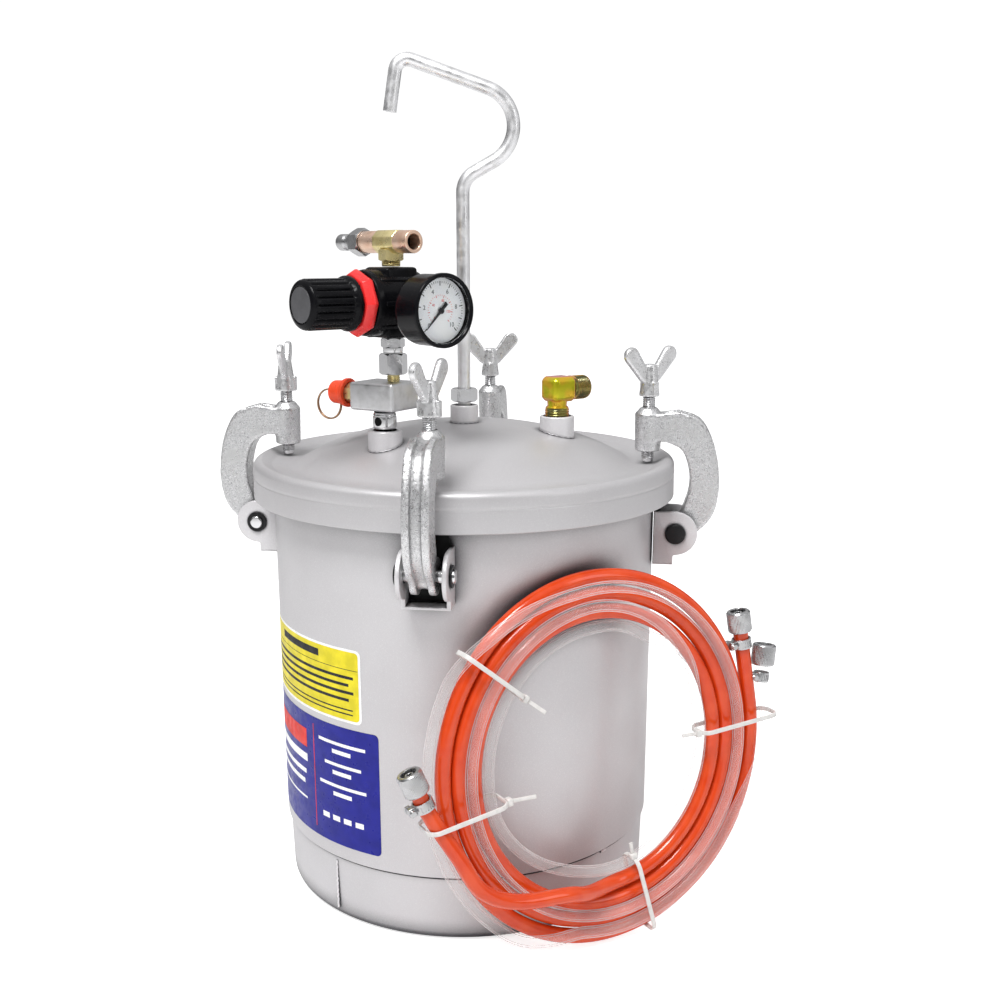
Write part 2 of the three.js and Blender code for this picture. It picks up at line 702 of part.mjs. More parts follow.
// A flat pointer with a square tail, in the plane of the dial, pointing at its zero.
function gaugeNeedle() {
  const shape = new THREE.Shape();
  shape.moveTo(NEEDLE.tip, 0).lineTo(1, NEEDLE.half).lineTo(-NEEDLE.tail, 1.4 * NEEDLE.half);
  shape.lineTo(-NEEDLE.tail, -1.4 * NEEDLE.half).lineTo(1, -NEEDLE.half).closePath();
  const pointer = new THREE.ExtrudeGeometry(shape, { depth: NEEDLE.thick, bevelEnabled: false });
  const at = DIAL_AT + DIAL_THICK + GAP;
  const hub = bar(1.7, at, at + 1.4, 12);
  return join(pointer.rotateZ(radians(NEEDLE_ZERO)).translate(0, 0, at + 0.3), hub);
}

// Turns the dial's right hand to the viewer's right before it is laid along the gauge's axis.
const upright = (geometry) => geometry.rotateZ(Math.PI / 2);

function addRegulator(stack) {
  add(stack, "regulator_body", regulatorBody(), BLACK_PLASTIC);
  add(stack, "regulator_collar", towardsKnob(regulatorCollar()), RED_PLASTIC);
  add(stack, "regulator_knob", towardsKnob(regulatorKnob()), BLACK_PLASTIC);
  add(stack, "gauge_case", towardsGauge(gaugeCase()), BLACK_PLASTIC);
  const dial = bar(GLASS_R, DIAL_AT, DIAL_AT + DIAL_THICK, 32);
  add(stack, "gauge_dial", towardsGauge(dial), WHITE);
  add(stack, "gauge_needle", towardsGauge(upright(gaugeNeedle())), BLACK_PLASTIC);
  const lensTop = GAUGE.front - 0.5;
  const lens = bar(GLASS_R, lensTop - LENS_THICK, lensTop, 32);
  add(stack, "gauge_lens", towardsGauge(lens), { ...WHITE, transparent: true, opacity: 0.3 });
  add(stack, "inlet_tee", inletTee(), BRASS);
  const plug = airPlug().rotateY(-Math.PI / 2).translate(0, 0, TEE.axis);
  add(stack, "air_plug", plug, STEEL);
}

// The branch tee on top of the regulator, and the plug that the air line snaps on.
function inletTee() {
  const run = bar(TEE.r, TEE.back, TEE.front).rotateY(Math.PI / 2);
  const middle = bar(TEE.r + 0.3, -TEE.blockHalf, TEE.blockHalf, 8).rotateY(Math.PI / 2);
  const body = join(run, middle).translate(0, 0, TEE.axis);
  const leg = bar(TEE.legR, REGULATOR.top + 3.4, TEE.axis, 8);
  const thread = bar(TEE.legR - 0.9, REGULATOR.top + GAP, REGULATOR.top + 4);
  const mouth = bar(TEE.bore, 0, TEE.front + 1).rotateY(Math.PI / 2).translate(0, 0, TEE.axis);
  return cut(join(body, leg, thread), mouth);
}

function airPlug() {
  const start = -TEE.back + GAP;
  const hex = hexagon(PLUG.flats, start, start + PLUG.hex);
  const tip = turned([
    [0, start + PLUG.hex - 1],
    [PLUG.r + 1.2, start + PLUG.hex - 1],
    [PLUG.r + 1.2, start + PLUG.hex + 3],
    [PLUG.r - 0.9, start + PLUG.hex + 5],
    [PLUG.r - 0.9, start + PLUG.hex + 8],
    [PLUG.r, start + PLUG.hex + 9.5],
    [PLUG.r, start + PLUG.length - 2],
    [PLUG.r - 1, start + PLUG.length],
    [0, start + PLUG.length],
  ]);
  const bore = bar(2.4, start + PLUG.hex, start + PLUG.length + 1, 12);
  return cut(join(hex, tip), bore);
}

// ---- outlet ----

// The forged elbow: a threaded foot, a neck, a square knee and a threaded outlet along X.
function outletElbow() {
  const knee = box(-ELBOW.half, ELBOW.reach, -ELBOW.half, ELBOW.half, ELBOW.bottom, ELBOW.top);
  const foot = turned([
    [0, OUTLET_BOSS.top - 12],
    [ELBOW_BASE_R, OUTLET_BOSS.top - 12],
    [ELBOW_BASE_R, OUTLET_BOSS.top + 5],
    [ELBOW.neckR, OUTLET_BOSS.top + 6],
    [ELBOW.neckR, ELBOW.bottom + 1],
    [0, ELBOW.bottom + 1],
  ]);
  const axis = (ELBOW.bottom + ELBOW.top) / 2;
  const outlet = bar(ELBOW.threadR, ELBOW.reach - 1, ELBOW.length).rotateY(Math.PI / 2);
  const mouth = bar(4, 0, ELBOW.length + 1).rotateY(Math.PI / 2).translate(0, 0, axis);
  const rise = bar(4, OUTLET_BOSS.top - 13, axis);
  return cut(join(knee, foot, outlet.translate(0, 0, axis)), mouth, rise);
}

function dipTube() {
  const top = OUTLET_BOSS.top - 12 - GAP;
  return cut(bar(DIP_TUBE.r, DIP_TUBE.bottom, top), bar(DIP_TUBE.bore, DIP_TUBE.bottom - 1, top + 1));
}

function addOutlet() {
  const group = standing(OUTLET_BOSS.x, OUTLET_BOSS.y, ELBOW_YAW);
  add(group, "outlet_elbow", outletElbow(), PASSIVATED);
  add(group, "dip_tube", dipTube(), STEEL);
}

// ---- hoses: the coil lies in its own XY plane, Z towards the viewer, and is then stood up ----

// The value at t of keys [t, value], eased from each key to the next.
function eased(keys, t) {
  const next = keys.findIndex(([at]) => at > t);
  if (next === 0) return keys[0][1];
  if (next < 0) return keys.at(-1)[1];
  const [[t0, v0], [t1, v1]] = [keys[next - 1], keys[next]];
  return v0 + (v1 - v0) * THREE.MathUtils.smoothstep(t, t0, t1);
}

// A hose that comes down its top end and coils clockwise. Turn by turn it keeps to a common spiral,
// moved off it by its own steps outwards and towards the viewer.
class HosePath extends THREE.Curve {
  constructor({ turns, lead, splay, outwards, forwards }) {
    super();
    this.turns = turns;
    this.top = { length: lead, splay };
    this.outwards = outwards;
    this.forwards = forwards;
    this.startR = COIL.outer - FLUID_HOSE_R;
  }

  getPoint(t) {
    const full = 2 * Math.PI * this.startR;
    const lead = this.top.length / full;
    const along = t * (this.turns + lead) - lead;
    const start = radians(COIL_START);
    const r = this.startR - COIL.pitch * Math.max(0, along) + eased(this.outwards, along);
    const z = eased(this.forwards, along);
    if (along >= 0) {
      const angle = start - along * 2 * Math.PI;
      return new THREE.Vector3(r * Math.cos(angle), COIL.tall * r * Math.sin(angle), z);
    }
    const rise = -along * full;
    const out = r + this.top.splay * (rise / this.top.length) ** 2;
    const x = out * Math.cos(start) - rise * Math.sin(start);
    const y = COIL.tall * out * Math.sin(start) + rise * Math.cos(start);
    return new THREE.Vector3(x, y, z);
  }
}

// The orange hose coils inwards and comes back over the front to leave at the left.
const FLUID_PATH = new HosePath({
  turns: 3.525,
  lead: 45,
  splay: 0,
  outwards: [[3.33, 0], [3.45, 30], [3.6, 62]],
  forwards: [[3.25, -1], [3.35, 15], [3.43, 15], [3.54, 8]],
});

// The clear hose lies in the grooves between the orange turns, and crosses them to run outside
// them at the left and inside them for its last turn.
const GROOVE = -COIL.pitch / 2;
const AIR_PATH = new HosePath({
  turns: 2.95,
  lead: 20,
  splay: 3,
  outwards: [
    [0, 9.3], [0.11, GROOVE], [0.3, GROOVE], [0.38, 8.6], [0.6, 8.6], [0.75, GROOVE],
    [1.75, GROOVE], [1.98, -17.9], [2.3, -17.9], [2.5, -8.6], [2.85, -8.6], [2.95, 3],
  ],
  forwards: [
    [-0.01, 0], [0.04, 7.8], [0.11, 6.3], [0.3, 6.3], [0.33, 8], [0.35, 7], [0.39, -1],
    [0.6, -1], [0.655, 8.2], [0.75, 6.3], [1.75, 6.3], [1.84, 8], [1.9, 6.5], [1.98, -1],
    [2.75, -1], [2.85, -9.8],
  ],
});

// Stands a piece at a distance from one end of a hose, its axis along the hose.
function atHoseEnd(mesh, path, t, beyond) {
  const direction = path.getTangent(t).multiplyScalar(t === 0 ? -1 : 1);
  const place = path.getPoint(t).addScaledVector(direction, beyond);
  mesh.position.copy(place);
  mesh.quaternion.setFromUnitVectors(new THREE.Vector3(0, 0, 1), direction);
}

function hoseNut() {
  const body = bar(HOSE_NUT.r, 0, HOSE_NUT.length, HOSE_NUT.knurls);
  return cut(body, bar(HOSE_NUT.bore, -1, HOSE_NUT.length + 1, 12));
}

function hoseClamp(hoseR) {
  const inner = hoseR + HOSE_CLAMP.slack;
  const band = bar(inner + HOSE_CLAMP.thick, 0, HOSE_CLAMP.wide, 16);
  const screwBox = box(inner, inner + 4, -3, 3, 0.5, HOSE_CLAMP.wide - 0.5);
  return cut(join(band, screwBox), bar(inner, -1, HOSE_CLAMP.wide + 1, 16));
}

// The space that the hoses take up where they pass an angle: X across the bundle, Z through it.
function bundleAt(degrees) {
  const bundle = new THREE.Box3();
  const turned = new THREE.Vector3();
  for (const [path, r] of [[FLUID_PATH, FLUID_HOSE_R], [AIR_PATH, AIR_HOSE_R]]) {
    for (const place of path.getPoints(800)) {
      turned.copy(place).applyAxisAngle(new THREE.Vector3(0, 0, 1), -radians(degrees));
      if (turned.x > 0 && Math.abs(turned.y) < TIE.wide) {
        bundle.union(new THREE.Box3().setFromCenterAndSize(turned, new THREE.Vector3(2 * r, 0, 2 * r)));
      }
    }
  }
  return bundle.expandByScalar(TIE.slack);
}

// A flat band tied round the bundle.
function cableTie(degrees) {
  const { min, max } = bundleAt(degrees);
  const half = TIE.wide / 2;
  const band = box(min.x - TIE.thick, max.x + TIE.thick, -half, half, min.z - TIE.thick, max.z + TIE.thick);
  return cut(band, box(min.x, max.x, -TIE.wide, TIE.wide, min.z, max.z));
}

function addHoses() {
  const group = new THREE.Group();
  group.position.set(COIL.x, COIL.y, COIL.z);
  group.rotation.order = "ZXY";
  group.rotation.z = radians(COIL_YAW + 90);
  group.rotation.x = radians(90 - COIL.lean);
  pot.add(group);
  add(group, "fluid_hose", tube(FLUID_PATH, FLUID_HOSE_R, 190, 6), ORANGE_HOSE);
  add(group, "air_hose", tube(AIR_PATH, AIR_HOSE_R, 170, 6), CLEAR_HOSE);
  TIE.angles.forEach((angle, i) => {
    add(group, `cable_tie_${i + 1}`, cableTie(angle), WHITE).rotation.z = radians(angle);
  });
  const ends = [
    { name: "hose_nut_fluid_top", path: FLUID_PATH, t: 0 },
    { name: "hose_nut_air_top", path: AIR_PATH, t: 0 },
    { name: "hose_nut_fluid_side", path: FLUID_PATH, t: 1 },
  ];
  for (const { name, path, t } of ends) {
    atHoseEnd(add(group, name, hoseNut(), STEEL), path, t, GAP);
  }
  atHoseEnd(add(group, "hose_clamp_fluid_top", hoseClamp(FLUID_HOSE_R), STEEL), FLUID_PATH, 0, -HOSE_CLAMP.back);
  atHoseEnd(add(group, "hose_clamp_air_top", hoseClamp(AIR_HOSE_R), STEEL), AIR_PATH, 0, -HOSE_CLAMP.back);
}

// ---- the whole pot ----

add(pot, "tank_shell", tankShell(), SILVER_PAINT);
add(pot, "foot_ring", footRing(), SILVER_PAINT);
add(pot, "lid", lid(), SILVER_PAINT);
add(pot, "lid_gasket", lidGasket(), BLACK_RUBBER);
CLAMPS.forEach(addClamp);
addHook();
addRegulator(addInlet());
addOutlet();
addHoses();

// The frame's origin is under the middle of everything, at the height of the foot.
const middle = new THREE.Box3().setFromObject(pot, true).getCenter(new THREE.Vector3());
pot.position.set(-middle.x, -middle.y, 0);

export default pot;
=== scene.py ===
"""The looks of a 10 litre pressure pot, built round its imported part.

Lengths are millimetres and angles are degrees. Every piece is shaped about the pot's own axis, and
is moved to the part's frame and scaled to metres when it is added to the scene.
"""

import json
import math

import bmesh
import bpy
from mathutils import Matrix, Vector


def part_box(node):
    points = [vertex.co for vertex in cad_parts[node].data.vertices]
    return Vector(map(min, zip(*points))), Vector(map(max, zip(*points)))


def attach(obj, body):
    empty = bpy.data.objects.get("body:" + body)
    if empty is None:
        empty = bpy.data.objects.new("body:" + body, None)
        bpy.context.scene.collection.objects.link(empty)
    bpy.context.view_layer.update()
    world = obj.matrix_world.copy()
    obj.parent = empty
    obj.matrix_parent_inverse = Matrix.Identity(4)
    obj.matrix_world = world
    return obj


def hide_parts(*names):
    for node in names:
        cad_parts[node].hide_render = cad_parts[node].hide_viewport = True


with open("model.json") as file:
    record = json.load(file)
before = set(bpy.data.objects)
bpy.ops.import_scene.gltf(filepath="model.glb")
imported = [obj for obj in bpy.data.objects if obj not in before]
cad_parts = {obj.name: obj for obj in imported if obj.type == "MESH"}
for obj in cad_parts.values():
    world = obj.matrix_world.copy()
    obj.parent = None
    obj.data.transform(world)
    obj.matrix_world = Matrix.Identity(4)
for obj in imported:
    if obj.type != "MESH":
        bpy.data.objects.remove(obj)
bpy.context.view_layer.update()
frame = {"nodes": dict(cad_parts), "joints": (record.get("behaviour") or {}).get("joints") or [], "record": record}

# ---- what the frame says ----

MM = 0.001
RECORD = frame["record"]
JOINTS = {joint["name"]: joint for joint in frame["joints"]}
BODY_OF = {node: body for body, nodes in RECORD["behaviour"]["bodies"].items() for node in nodes}


# Where the pot's axis stands in the part's frame, in metres.
AXIS = Vector((*((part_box("tank_shell")[0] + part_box("tank_shell")[1]) / 2).xy, 0))


def points(node):
    return [(vertex.co - AXIS) / MM for vertex in frame["nodes"][node].data.vertices]


def low(node):
    return (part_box(node)[0] - AXIS) / MM


def high(node):
    return (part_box(node)[1] - AXIS) / MM


def middle(node):
    return (low(node) + high(node)) / 2


def reach(node, bottom=-math.inf, top=math.inf, x=0, y=0):
    """How far a node gets from an upright axis, between two heights."""
    return max(math.hypot(p.x - x, p.y - y) for p in points(node) if bottom < p.z < top)


def pivot(joint):
    return (Vector(JOINTS[joint]["pos_m"]) - AXIS) / MM


def along(joint):
    return Vector(JOINTS[joint]["axis"])


def bearing(direction):
    return math.degrees(math.atan2(direction.y, direction.x))


def pointing(node, x, y):
    """The bearing in which a node gets furthest from an upright axis."""
    limit = 0.9 * reach(node, x=x, y=y)
    arms = [Vector((p.x - x, p.y - y)) for p in points(node)]
    far = [arm for arm in arms if arm.length > limit]
    return bearing(sum([arm for arm in far if arm.dot(far[0]) > 0], Vector((0, 0))))


GAP = 0.3  # left between two pieces that touch
RIM_R = reach("tank_shell")
RIM_Z = high("tank_shell").z
TANK_R = reach("tank_shell", top=RIM_Z - 5)
WALL = 2
SEAM_Z = high("foot_ring").z
FOOT_R = reach("foot_ring")
LID_R = reach("lid")
SKIRT_Z = low("lid").z
HOOK_AT = middle("hook_lock_nut")
INLET_AT = middle("inlet_swivel")
OUTLET_AT = middle("dip_tube")
CLAMP_SIDES = ("front", "right", "back", "left")
SCREW_REACH = pivot("clamp_right_wing_turn").x
PIVOT = pivot("clamp_right_swing")
ROD_R = reach("clamp_spindle_right", x=SCREW_REACH)

# ---- shaping in millimetres ----


def turn(angle):
    return Vector((math.cos(math.radians(angle)), math.sin(math.radians(angle))))


def arc(x, y, r, start, end, step=10):
    """Points of a circle's arc, from one angle to another."""
    count = max(2, math.ceil(abs(end - start) / step))
    return [Vector((x, y)) + r * turn(start + (end - start) * k / count) for k in range(count + 1)]


def outline(corners, closed=True, step=15):
    """Points of a path through (x, y, radius) corners, each rounded by its own radius if it has one."""
    made = []
    for i, (x, y, *rounding) in enumerate(corners):
        here = Vector((x, y))
        if not rounding or (not closed and i in (0, len(corners) - 1)):
            made.append(here)
            continue
        before = (Vector(corners[i - 1][:2]) - here).normalized()
        after = (Vector(corners[(i + 1) % len(corners)][:2]) - here).normalized()
        half = before.angle(after) / 2
        centre = here + (before + after).normalized() * rounding[0] / math.sin(half)
        first = math.degrees(math.atan2(*reversed(here + before * rounding[0] / math.tan(half) - centre)))
        last = math.degrees(math.atan2(*reversed(here + after * rounding[0] / math.tan(half) - centre)))
        sweep = (last - first + 180) % 360 - 180
        made += arc(centre.x, centre.y, rounding[0], first, first + sweep, step)
    return made


def through(knots, steps=8):
    """A smooth curve through knots, by Catmull-Rom splines."""
    knots = [Vector(k) for k in knots]
    ends = [2 * knots[0] - knots[1], *knots, 2 * knots[-1] - knots[-2]]
    made = []
    for a, b, c, d in zip(ends, ends[1:], ends[2:], ends[3:]):
        for k in range(steps):
            t = k / steps
            made.append(
                ((2 * b) + (c - a) * t + (2 * a - 5 * b + 4 * c - d) * t**2 + (3 * b - a - 3 * c + d) * t**3) / 2
            )
    return [*made, knots[-1]]


def solid(verts, faces):
    """A mesh from vertices and faces, its faces turned outwards."""
    mesh = bpy.data.meshes.new("solid")
    mesh.from_pydata([tuple(v) for v in verts], [], faces)
    work = bmesh.new()
    work.from_mesh(mesh)
    bmesh.ops.recalc_face_normals(work, faces=work.faces)
    work.to_mesh(mesh)
    work.free()
    return mesh


def turned(profile, sides=72, closed=False):
    """A body of revolution about Z from (radius, height) points. It starts and ends on the axis, or is closed."""
    verts, rings, faces = [], [], []
    for r, z in profile:
        count = sides if r > 1e-6 else 1
        rings.append(range(len(verts), len(verts) + count))
        verts += [(*(r * turn(360 * k / sides)), z) for k in range(count)]
    for a, b in zip(rings, [*rings[1:], rings[0]] if closed else rings[1:]):
        for k in range(sides):
            n = (k + 1) % sides
            if len(a) == 1 and len(b) > 1:
                faces.append((a[0], b[n], b[k]))
            elif len(b) == 1 and len(a) > 1:
                faces.append((a[k], a[n], b[0]))
            elif len(a) > 1:
                faces.append((a[k], a[n], b[n], b[k]))
    return solid(verts, faces)


def ring(r, wire, sides=72, wire_sides=12):
    """A torus about Z."""
    return turned([(r + wire * turn(a).x, wire * turn(a).y) for a in range(0, 360, 360 // wire_sides)], sides, True)


def bar(r, bottom, top, edge=0.4, sides=48):
    """A round bar about Z with softened ends."""
    return turned(outline([(0, bottom), (r, bottom, edge), (r, top, edge), (0, top)], False), sides)


def tube(r, bore, bottom, top, edge=0.3, sides=48):
    return turned(outline([(bore, bottom, edge), (r, bottom, edge), (r, top, edge), (bore, top, edge)]), sides, True)


def prism(shape, bottom, top):
    """A flat outline drawn out along Z."""
    count = len(shape)
    verts = [(x, y, bottom) for x, y in shape] + [(x, y, top) for x, y in shape]
    sides = [(k, (k + 1) % count, count + (k + 1) % count, count + k) for k in range(count)]
    return solid(verts, [tuple(range(count))[::-1], tuple(range(count, 2 * count)), *sides])


def plate(shape, thickness, at=0):
    """An outline in the XZ plane, given thickness along Y about a middle."""
    return moved(prism(shape, -thickness / 2 - at, thickness / 2 - at), Matrix.Rotation(math.pi / 2, 4, "X"))


def box(x0, x1, y0, y1, z0, z1):
    return prism([(x0, y0), (x1, y0), (x1, y1), (x0, y1)], z0, z1)


def swept(path, r, sides=16, closed=False, bore=0):
    """A round bar, or a tube with a bore, along a list of points."""
    path = [Vector(p) for p in path]
    count = len(path)
    verts, rings = [], []
    across = None
    for k, here in enumerate(path):
        ahead = path[(k + 1) % count] if closed or k < count - 1 else here
        behind = path[k - 1] if closed or k > 0 else here
        heading = (ahead - behind).normalized()
        across = heading.orthogonal() if across is None else across - across.dot(heading) * heading
        across.normalize()
        other = heading.cross(across)
        for radius in (r, bore) if bore else (r,):
            rings.append(range(len(verts), len(verts) + sides))
            verts += [here + radius * (c.x * across + c.y * other) for c in (turn(360 * s / sides) for s in range(sides))]
    layers = [rings[0::2], rings[1::2]] if bore else [rings]
    faces = []
    for layer in layers:
        for a, b in zip(layer, [*layer[1:], layer[0]] if closed else layer[1:]):
            faces += [(a[s], a[(s + 1) % sides], b[(s + 1) % sides], b[s]) for s in range(sides)]
    if bore:
        for a, b in ((rings[0], rings[1]), (rings[-2], rings[-1])):
            faces += [(a[s], a[(s + 1) % sides], b[(s + 1) % sides], b[s]) for s in range(sides)]
    elif not closed:
        faces += [tuple(rings[0]), tuple(rings[-1])]
    return solid(verts, faces)


def threaded(r, bottom, top, pitch=1.25, depth=0.55, sides=32, steps=8):
    """A screw thread about Z, its ends faded out."""
    count = max(4, math.ceil((top - bottom) / pitch * steps))
    verts = [(0, 0, bottom)]
    for i in range(count + 1):
        z = bottom + (top - bottom) * i / count
        fade = min(1, (z - bottom) / pitch, (top - z) / pitch)
        for k in range(sides):
            wave = 1 - abs(2 * ((z / pitch - k / sides) % 1) - 1)
            verts.append((*((r - depth + depth * fade * wave) * turn(360 * k / sides)), z))
    verts.append((0, 0, top))
    faces = [(0, 1 + (k + 1) % sides, 1 + k) for k in range(sides)]
    for i in range(count):
        a = 1 + i * sides
        faces += [(a + k, a + (k + 1) % sides, a + sides + (k + 1) % sides, a + sides + k) for k in range(sides)]
    a = 1 + count * sides
    faces += [(a + k, a + (k + 1) % sides, len(verts) - 1) for k in range(sides)]
    return solid(verts, faces)


def moved(mesh, matrix):
    made = mesh.copy()
    made.transform(matrix)
    if matrix.determinant() < 0:
        made.flip_normals()
    return made


def gathered(*meshes):
    """One mesh that holds them all."""
    work = bmesh.new()
    for mesh in meshes:
        work.from_mesh(mesh)
    made = bpy.data.meshes.new("gathered")
    work.to_mesh(made)
    work.free()
    return made


def changed(mesh, kind, **settings):
    """The mesh after one modifier."""
    made = bpy.data.objects.new("work", mesh)
    bpy.context.scene.collection.objects.link(made)
    modifier = made.modifiers.new("work", kind)
    for key, value in settings.items():
        setattr(modifier, key, value)
    result = bpy.data.meshes.new_from_object(made.evaluated_get(bpy.context.evaluated_depsgraph_get()))
    bpy.data.objects.remove(made)
    return result


def with_tool(mesh, tool, operation, overlapping=False):
    """The mesh cut or joined by another. A mesh whose own bodies overlap has to be told so."""
    helper = bpy.data.objects.new("tool", tool)
    bpy.context.scene.collection.objects.link(helper)
    settings = {"object": helper, "operation": operation, "solver": "EXACT", "use_self": overlapping}
    result = changed(mesh, "BOOLEAN", **settings)
    bpy.data.objects.remove(helper)
    return result


def cut(mesh, *tools, overlapping=False):
    for tool in tools:
        mesh = with_tool(mesh, tool, "DIFFERENCE", overlapping)
    return mesh


def softened(mesh, width, segments=3, angle=30):
    """Its edges sharper than an angle, rounded over."""
    settings = {"limit_method": "ANGLE", "angle_limit": math.radians(angle), "harden_normals": False}
    return changed(mesh, "BEVEL", width=width, segments=segments, **settings)


def hexagon(flats, bottom, top, chamfer=0.9):
    """A hexagonal bar about Z with turned, chamfered ends, its size given across the flats."""
    corner = flats / math.sqrt(3)
    bar_of = prism([corner * turn(60 * k) for k in range(6)], bottom, top)
    end = flats / 2 - 0.1
    slope = chamfer * 0.6
    lathe = [(0, bottom), (end, bottom), (corner + 0.2, bottom + slope + 0.3), (corner + 0.2, top - slope - 0.3)]
    return with_tool(bar_of, turned([*lathe, (end, top), (0, top)], 72), "INTERSECT")


def cast(mesh, voxel, roughness, size, smoothing=4):
    """Overlapping closed bodies run together, smoothed, and given the skin of a sand casting."""
    one = changed(mesh, "REMESH", mode="VOXEL", voxel_size=voxel)
    one = changed(one, "SMOOTH", factor=0.5, iterations=smoothing)
    grain = bpy.data.textures.new("grain", "CLOUDS")
    grain.noise_scale = size
    grain.noise_depth = 3
    return changed(one, "DISPLACE", texture=grain, strength=roughness, mid_level=0.5, texture_coords="LOCAL")


def standing(x, y, yaw, z=0):
    """A place on the pot, turned about the upright."""
    return Matrix.Translation((x, y, z)) @ Matrix.Rotation(math.radians(yaw), 4, "Z")


def lying(at, direction):
    """A place whose Z runs along a direction."""
    return Matrix.Translation(at) @ Vector(direction).to_track_quat("Z", "Y").to_matrix().to_4x4()


def add(name, mesh, look, node, stands_in=True, smooth=35):
    """Puts a mesh in the scene on the body of a CAD node, and in that node's place if it stands in for it."""
    mesh = moved(mesh, Matrix.Translation(AXIS) @ Matrix.Scale(MM, 4))
    mesh.materials.clear()
    mesh.materials.append(look)
    mesh.polygons.foreach_set("use_smooth", [True] * len(mesh.polygons))
    mesh.polygons.foreach_set("material_index", [0] * len(mesh.polygons))
    mesh.set_sharp_from_angle(angle=math.radians(smooth))
    made = bpy.data.objects.new(name, mesh)
    bpy.context.scene.collection.objects.link(made)
    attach(made, BODY_OF[node])
    if stands_in:
        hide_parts(node)
    return made


# ---- materials ----


class Look:
    """A procedural material: a Principled shader, and the noises that colour, roughen and bump it."""

    def __init__(self, name, colour, **inputs):
        self.material = bpy.data.materials.new(name)
        self.material.use_nodes = True
        self.tree = self.material.node_tree
        self.shader = self.tree.nodes["Principled BSDF"]
        self.place = self.tree.nodes.new("ShaderNodeTexCoord").outputs["Object"]
        self.colour = (*colour, 1)
        self.shader.inputs["Base Color"].default_value = self.colour
        for key, value in inputs.items():
            self.shader.inputs[key.replace("_", " ")].default_value = value

    def wire(self, source, target):
        self.tree.links.new(source, target)

    def noise(self, size, detail=3, stretch=(1, 1, 1)):
        """A noise whose features are about a size across."""
        mapping = self.tree.nodes.new("ShaderNodeMapping")
        mapping.inputs["Scale"].default_value = [1 / s for s in stretch]
        self.wire(self.place, mapping.inputs["Vector"])
        texture = self.tree.nodes.new("ShaderNodeTexNoise")
        texture.inputs["Scale"].default_value = 1 / (size * MM)
        texture.inputs["Detail"].default_value = detail
        self.wire(mapping.outputs["Vector"], texture.inputs["Vector"])
        return texture.outputs["Fac"]

    def ao_for_painted_shade(self, distance):
        """Ambient occlusion: falls from 1 in the open to 0 where other surfaces crowd in within a distance. It is used
        to paint shade into a colour.
        """
        node = self.tree.nodes.new("ShaderNodeAmbientOcclusion")
        node.samples = 8
        node.inputs["Distance"].default_value = distance * MM
        return node.outputs["AO"]

    def spread(self, value, first, last, start=0.35, end=0.65):
        """A value carried from one range to another."""
        node = self.tree.nodes.new("ShaderNodeMapRange")
        node.inputs["From Min"].default_value = start
        node.inputs["From Max"].default_value = end
        node.inputs["To Min"].default_value = first
        node.inputs["To Max"].default_value = last
        self.wire(value, node.inputs["Value"])
        return node.outputs["Result"]

    def tint(self, value, colour, start=0.35, end=0.65):
        """Mixes another colour in where a value is high."""
        node = self.tree.nodes.new("ShaderNodeMix")
        node.data_type = "RGBA"
        self.wire(self.spread(value, 0, 1, start, end), node.inputs["Factor"])
        base = self.shader.inputs["Base Color"]
        if base.is_linked:
            self.wire(base.links[0].from_socket, node.inputs["A"])
        else:
            node.inputs["A"].default_value = self.colour
        node.inputs["B"].default_value = (*colour, 1)
        self.wire(node.outputs["Result"], base)
        return self

    def vary(self, name, value, first, last, start=0.35, end=0.65):
        self.wire(self.spread(value, first, last, start, end), self.shader.inputs[name])
        return self

    def bump(self, value, height):
        """Raises the surface by up to a height where a value is high."""
        node = self.tree.nodes.new("ShaderNodeBump")
        node.inputs["Distance"].default_value = height * MM
        normal = self.shader.inputs["Normal"]
        if normal.is_linked:
            self.wire(normal.links[0].from_socket, node.inputs["Normal"])
        self.wire(value, node.inputs["Height"])
        self.wire(node.outputs["Normal"], normal)
        return self


def silver_paint(name, shade, shelter=20):
    """Aluminium-flake paint over rolled steel: fine flakes, a slight orange peel and faint drifts of tone, darkened by
    painted shade where other surfaces crowd in within the shelter distance.
    """
    look = Look(name, (shade, shade * 0.98, shade * 1.0), Metallic=0.35, Roughness=0.4)
    look.tint(look.noise(70, 2), (shade * 0.94, shade * 0.915, shade * 0.935))
    look.tint(look.noise(0.35, 1), (min(1, shade * 1.15),) * 3, 0.56, 0.72)
    # Painted shade: the paint goes almost black where other surfaces crowd in, such as under the lid's skirt and round
    # the brackets.
    look.tint(look.ao_for_painted_shade(shelter), (shade * 0.1, shade * 0.097, shade * 0.11), 0.85, 0.45)
    look.vary("Roughness", look.noise(30, 3), 0.36, 0.46)
    return look.bump(look.noise(0.5, 2), 0.03).bump(look.noise(6, 2), 0.05).material


def cast_zinc(name, shade=0.74, spots=0.5, relief=0.35):
    """Zinc over a sand casting: bright, with a rough skin whose pits are dark, and darkened by painted shade where
    other surfaces crowd in.
    """
    look = Look(name, (shade, shade, shade * 1.01), Metallic=0.85, Roughness=0.34)
    look.tint(look.noise(0.5, 4), (0.30, 0.30, 0.305), 1 - spots, 1.2 - spots)
    # Painted shade: darker where other surfaces crowd in within 7 mm.
    look.tint(look.ao_for_painted_shade(7), (0.12, 0.12, 0.125), 0.8, 0.3)
    look.tint(look.noise(14, 1), (shade * 0.86,) * 3, 0.45, 0.7)
    look.vary("Roughness", look.noise(2.2, 3), 0.22, 0.46)
    return look.bump(look.noise(0.7, 4), relief).bump(look.noise(0.3, 2), relief * 0.3).material


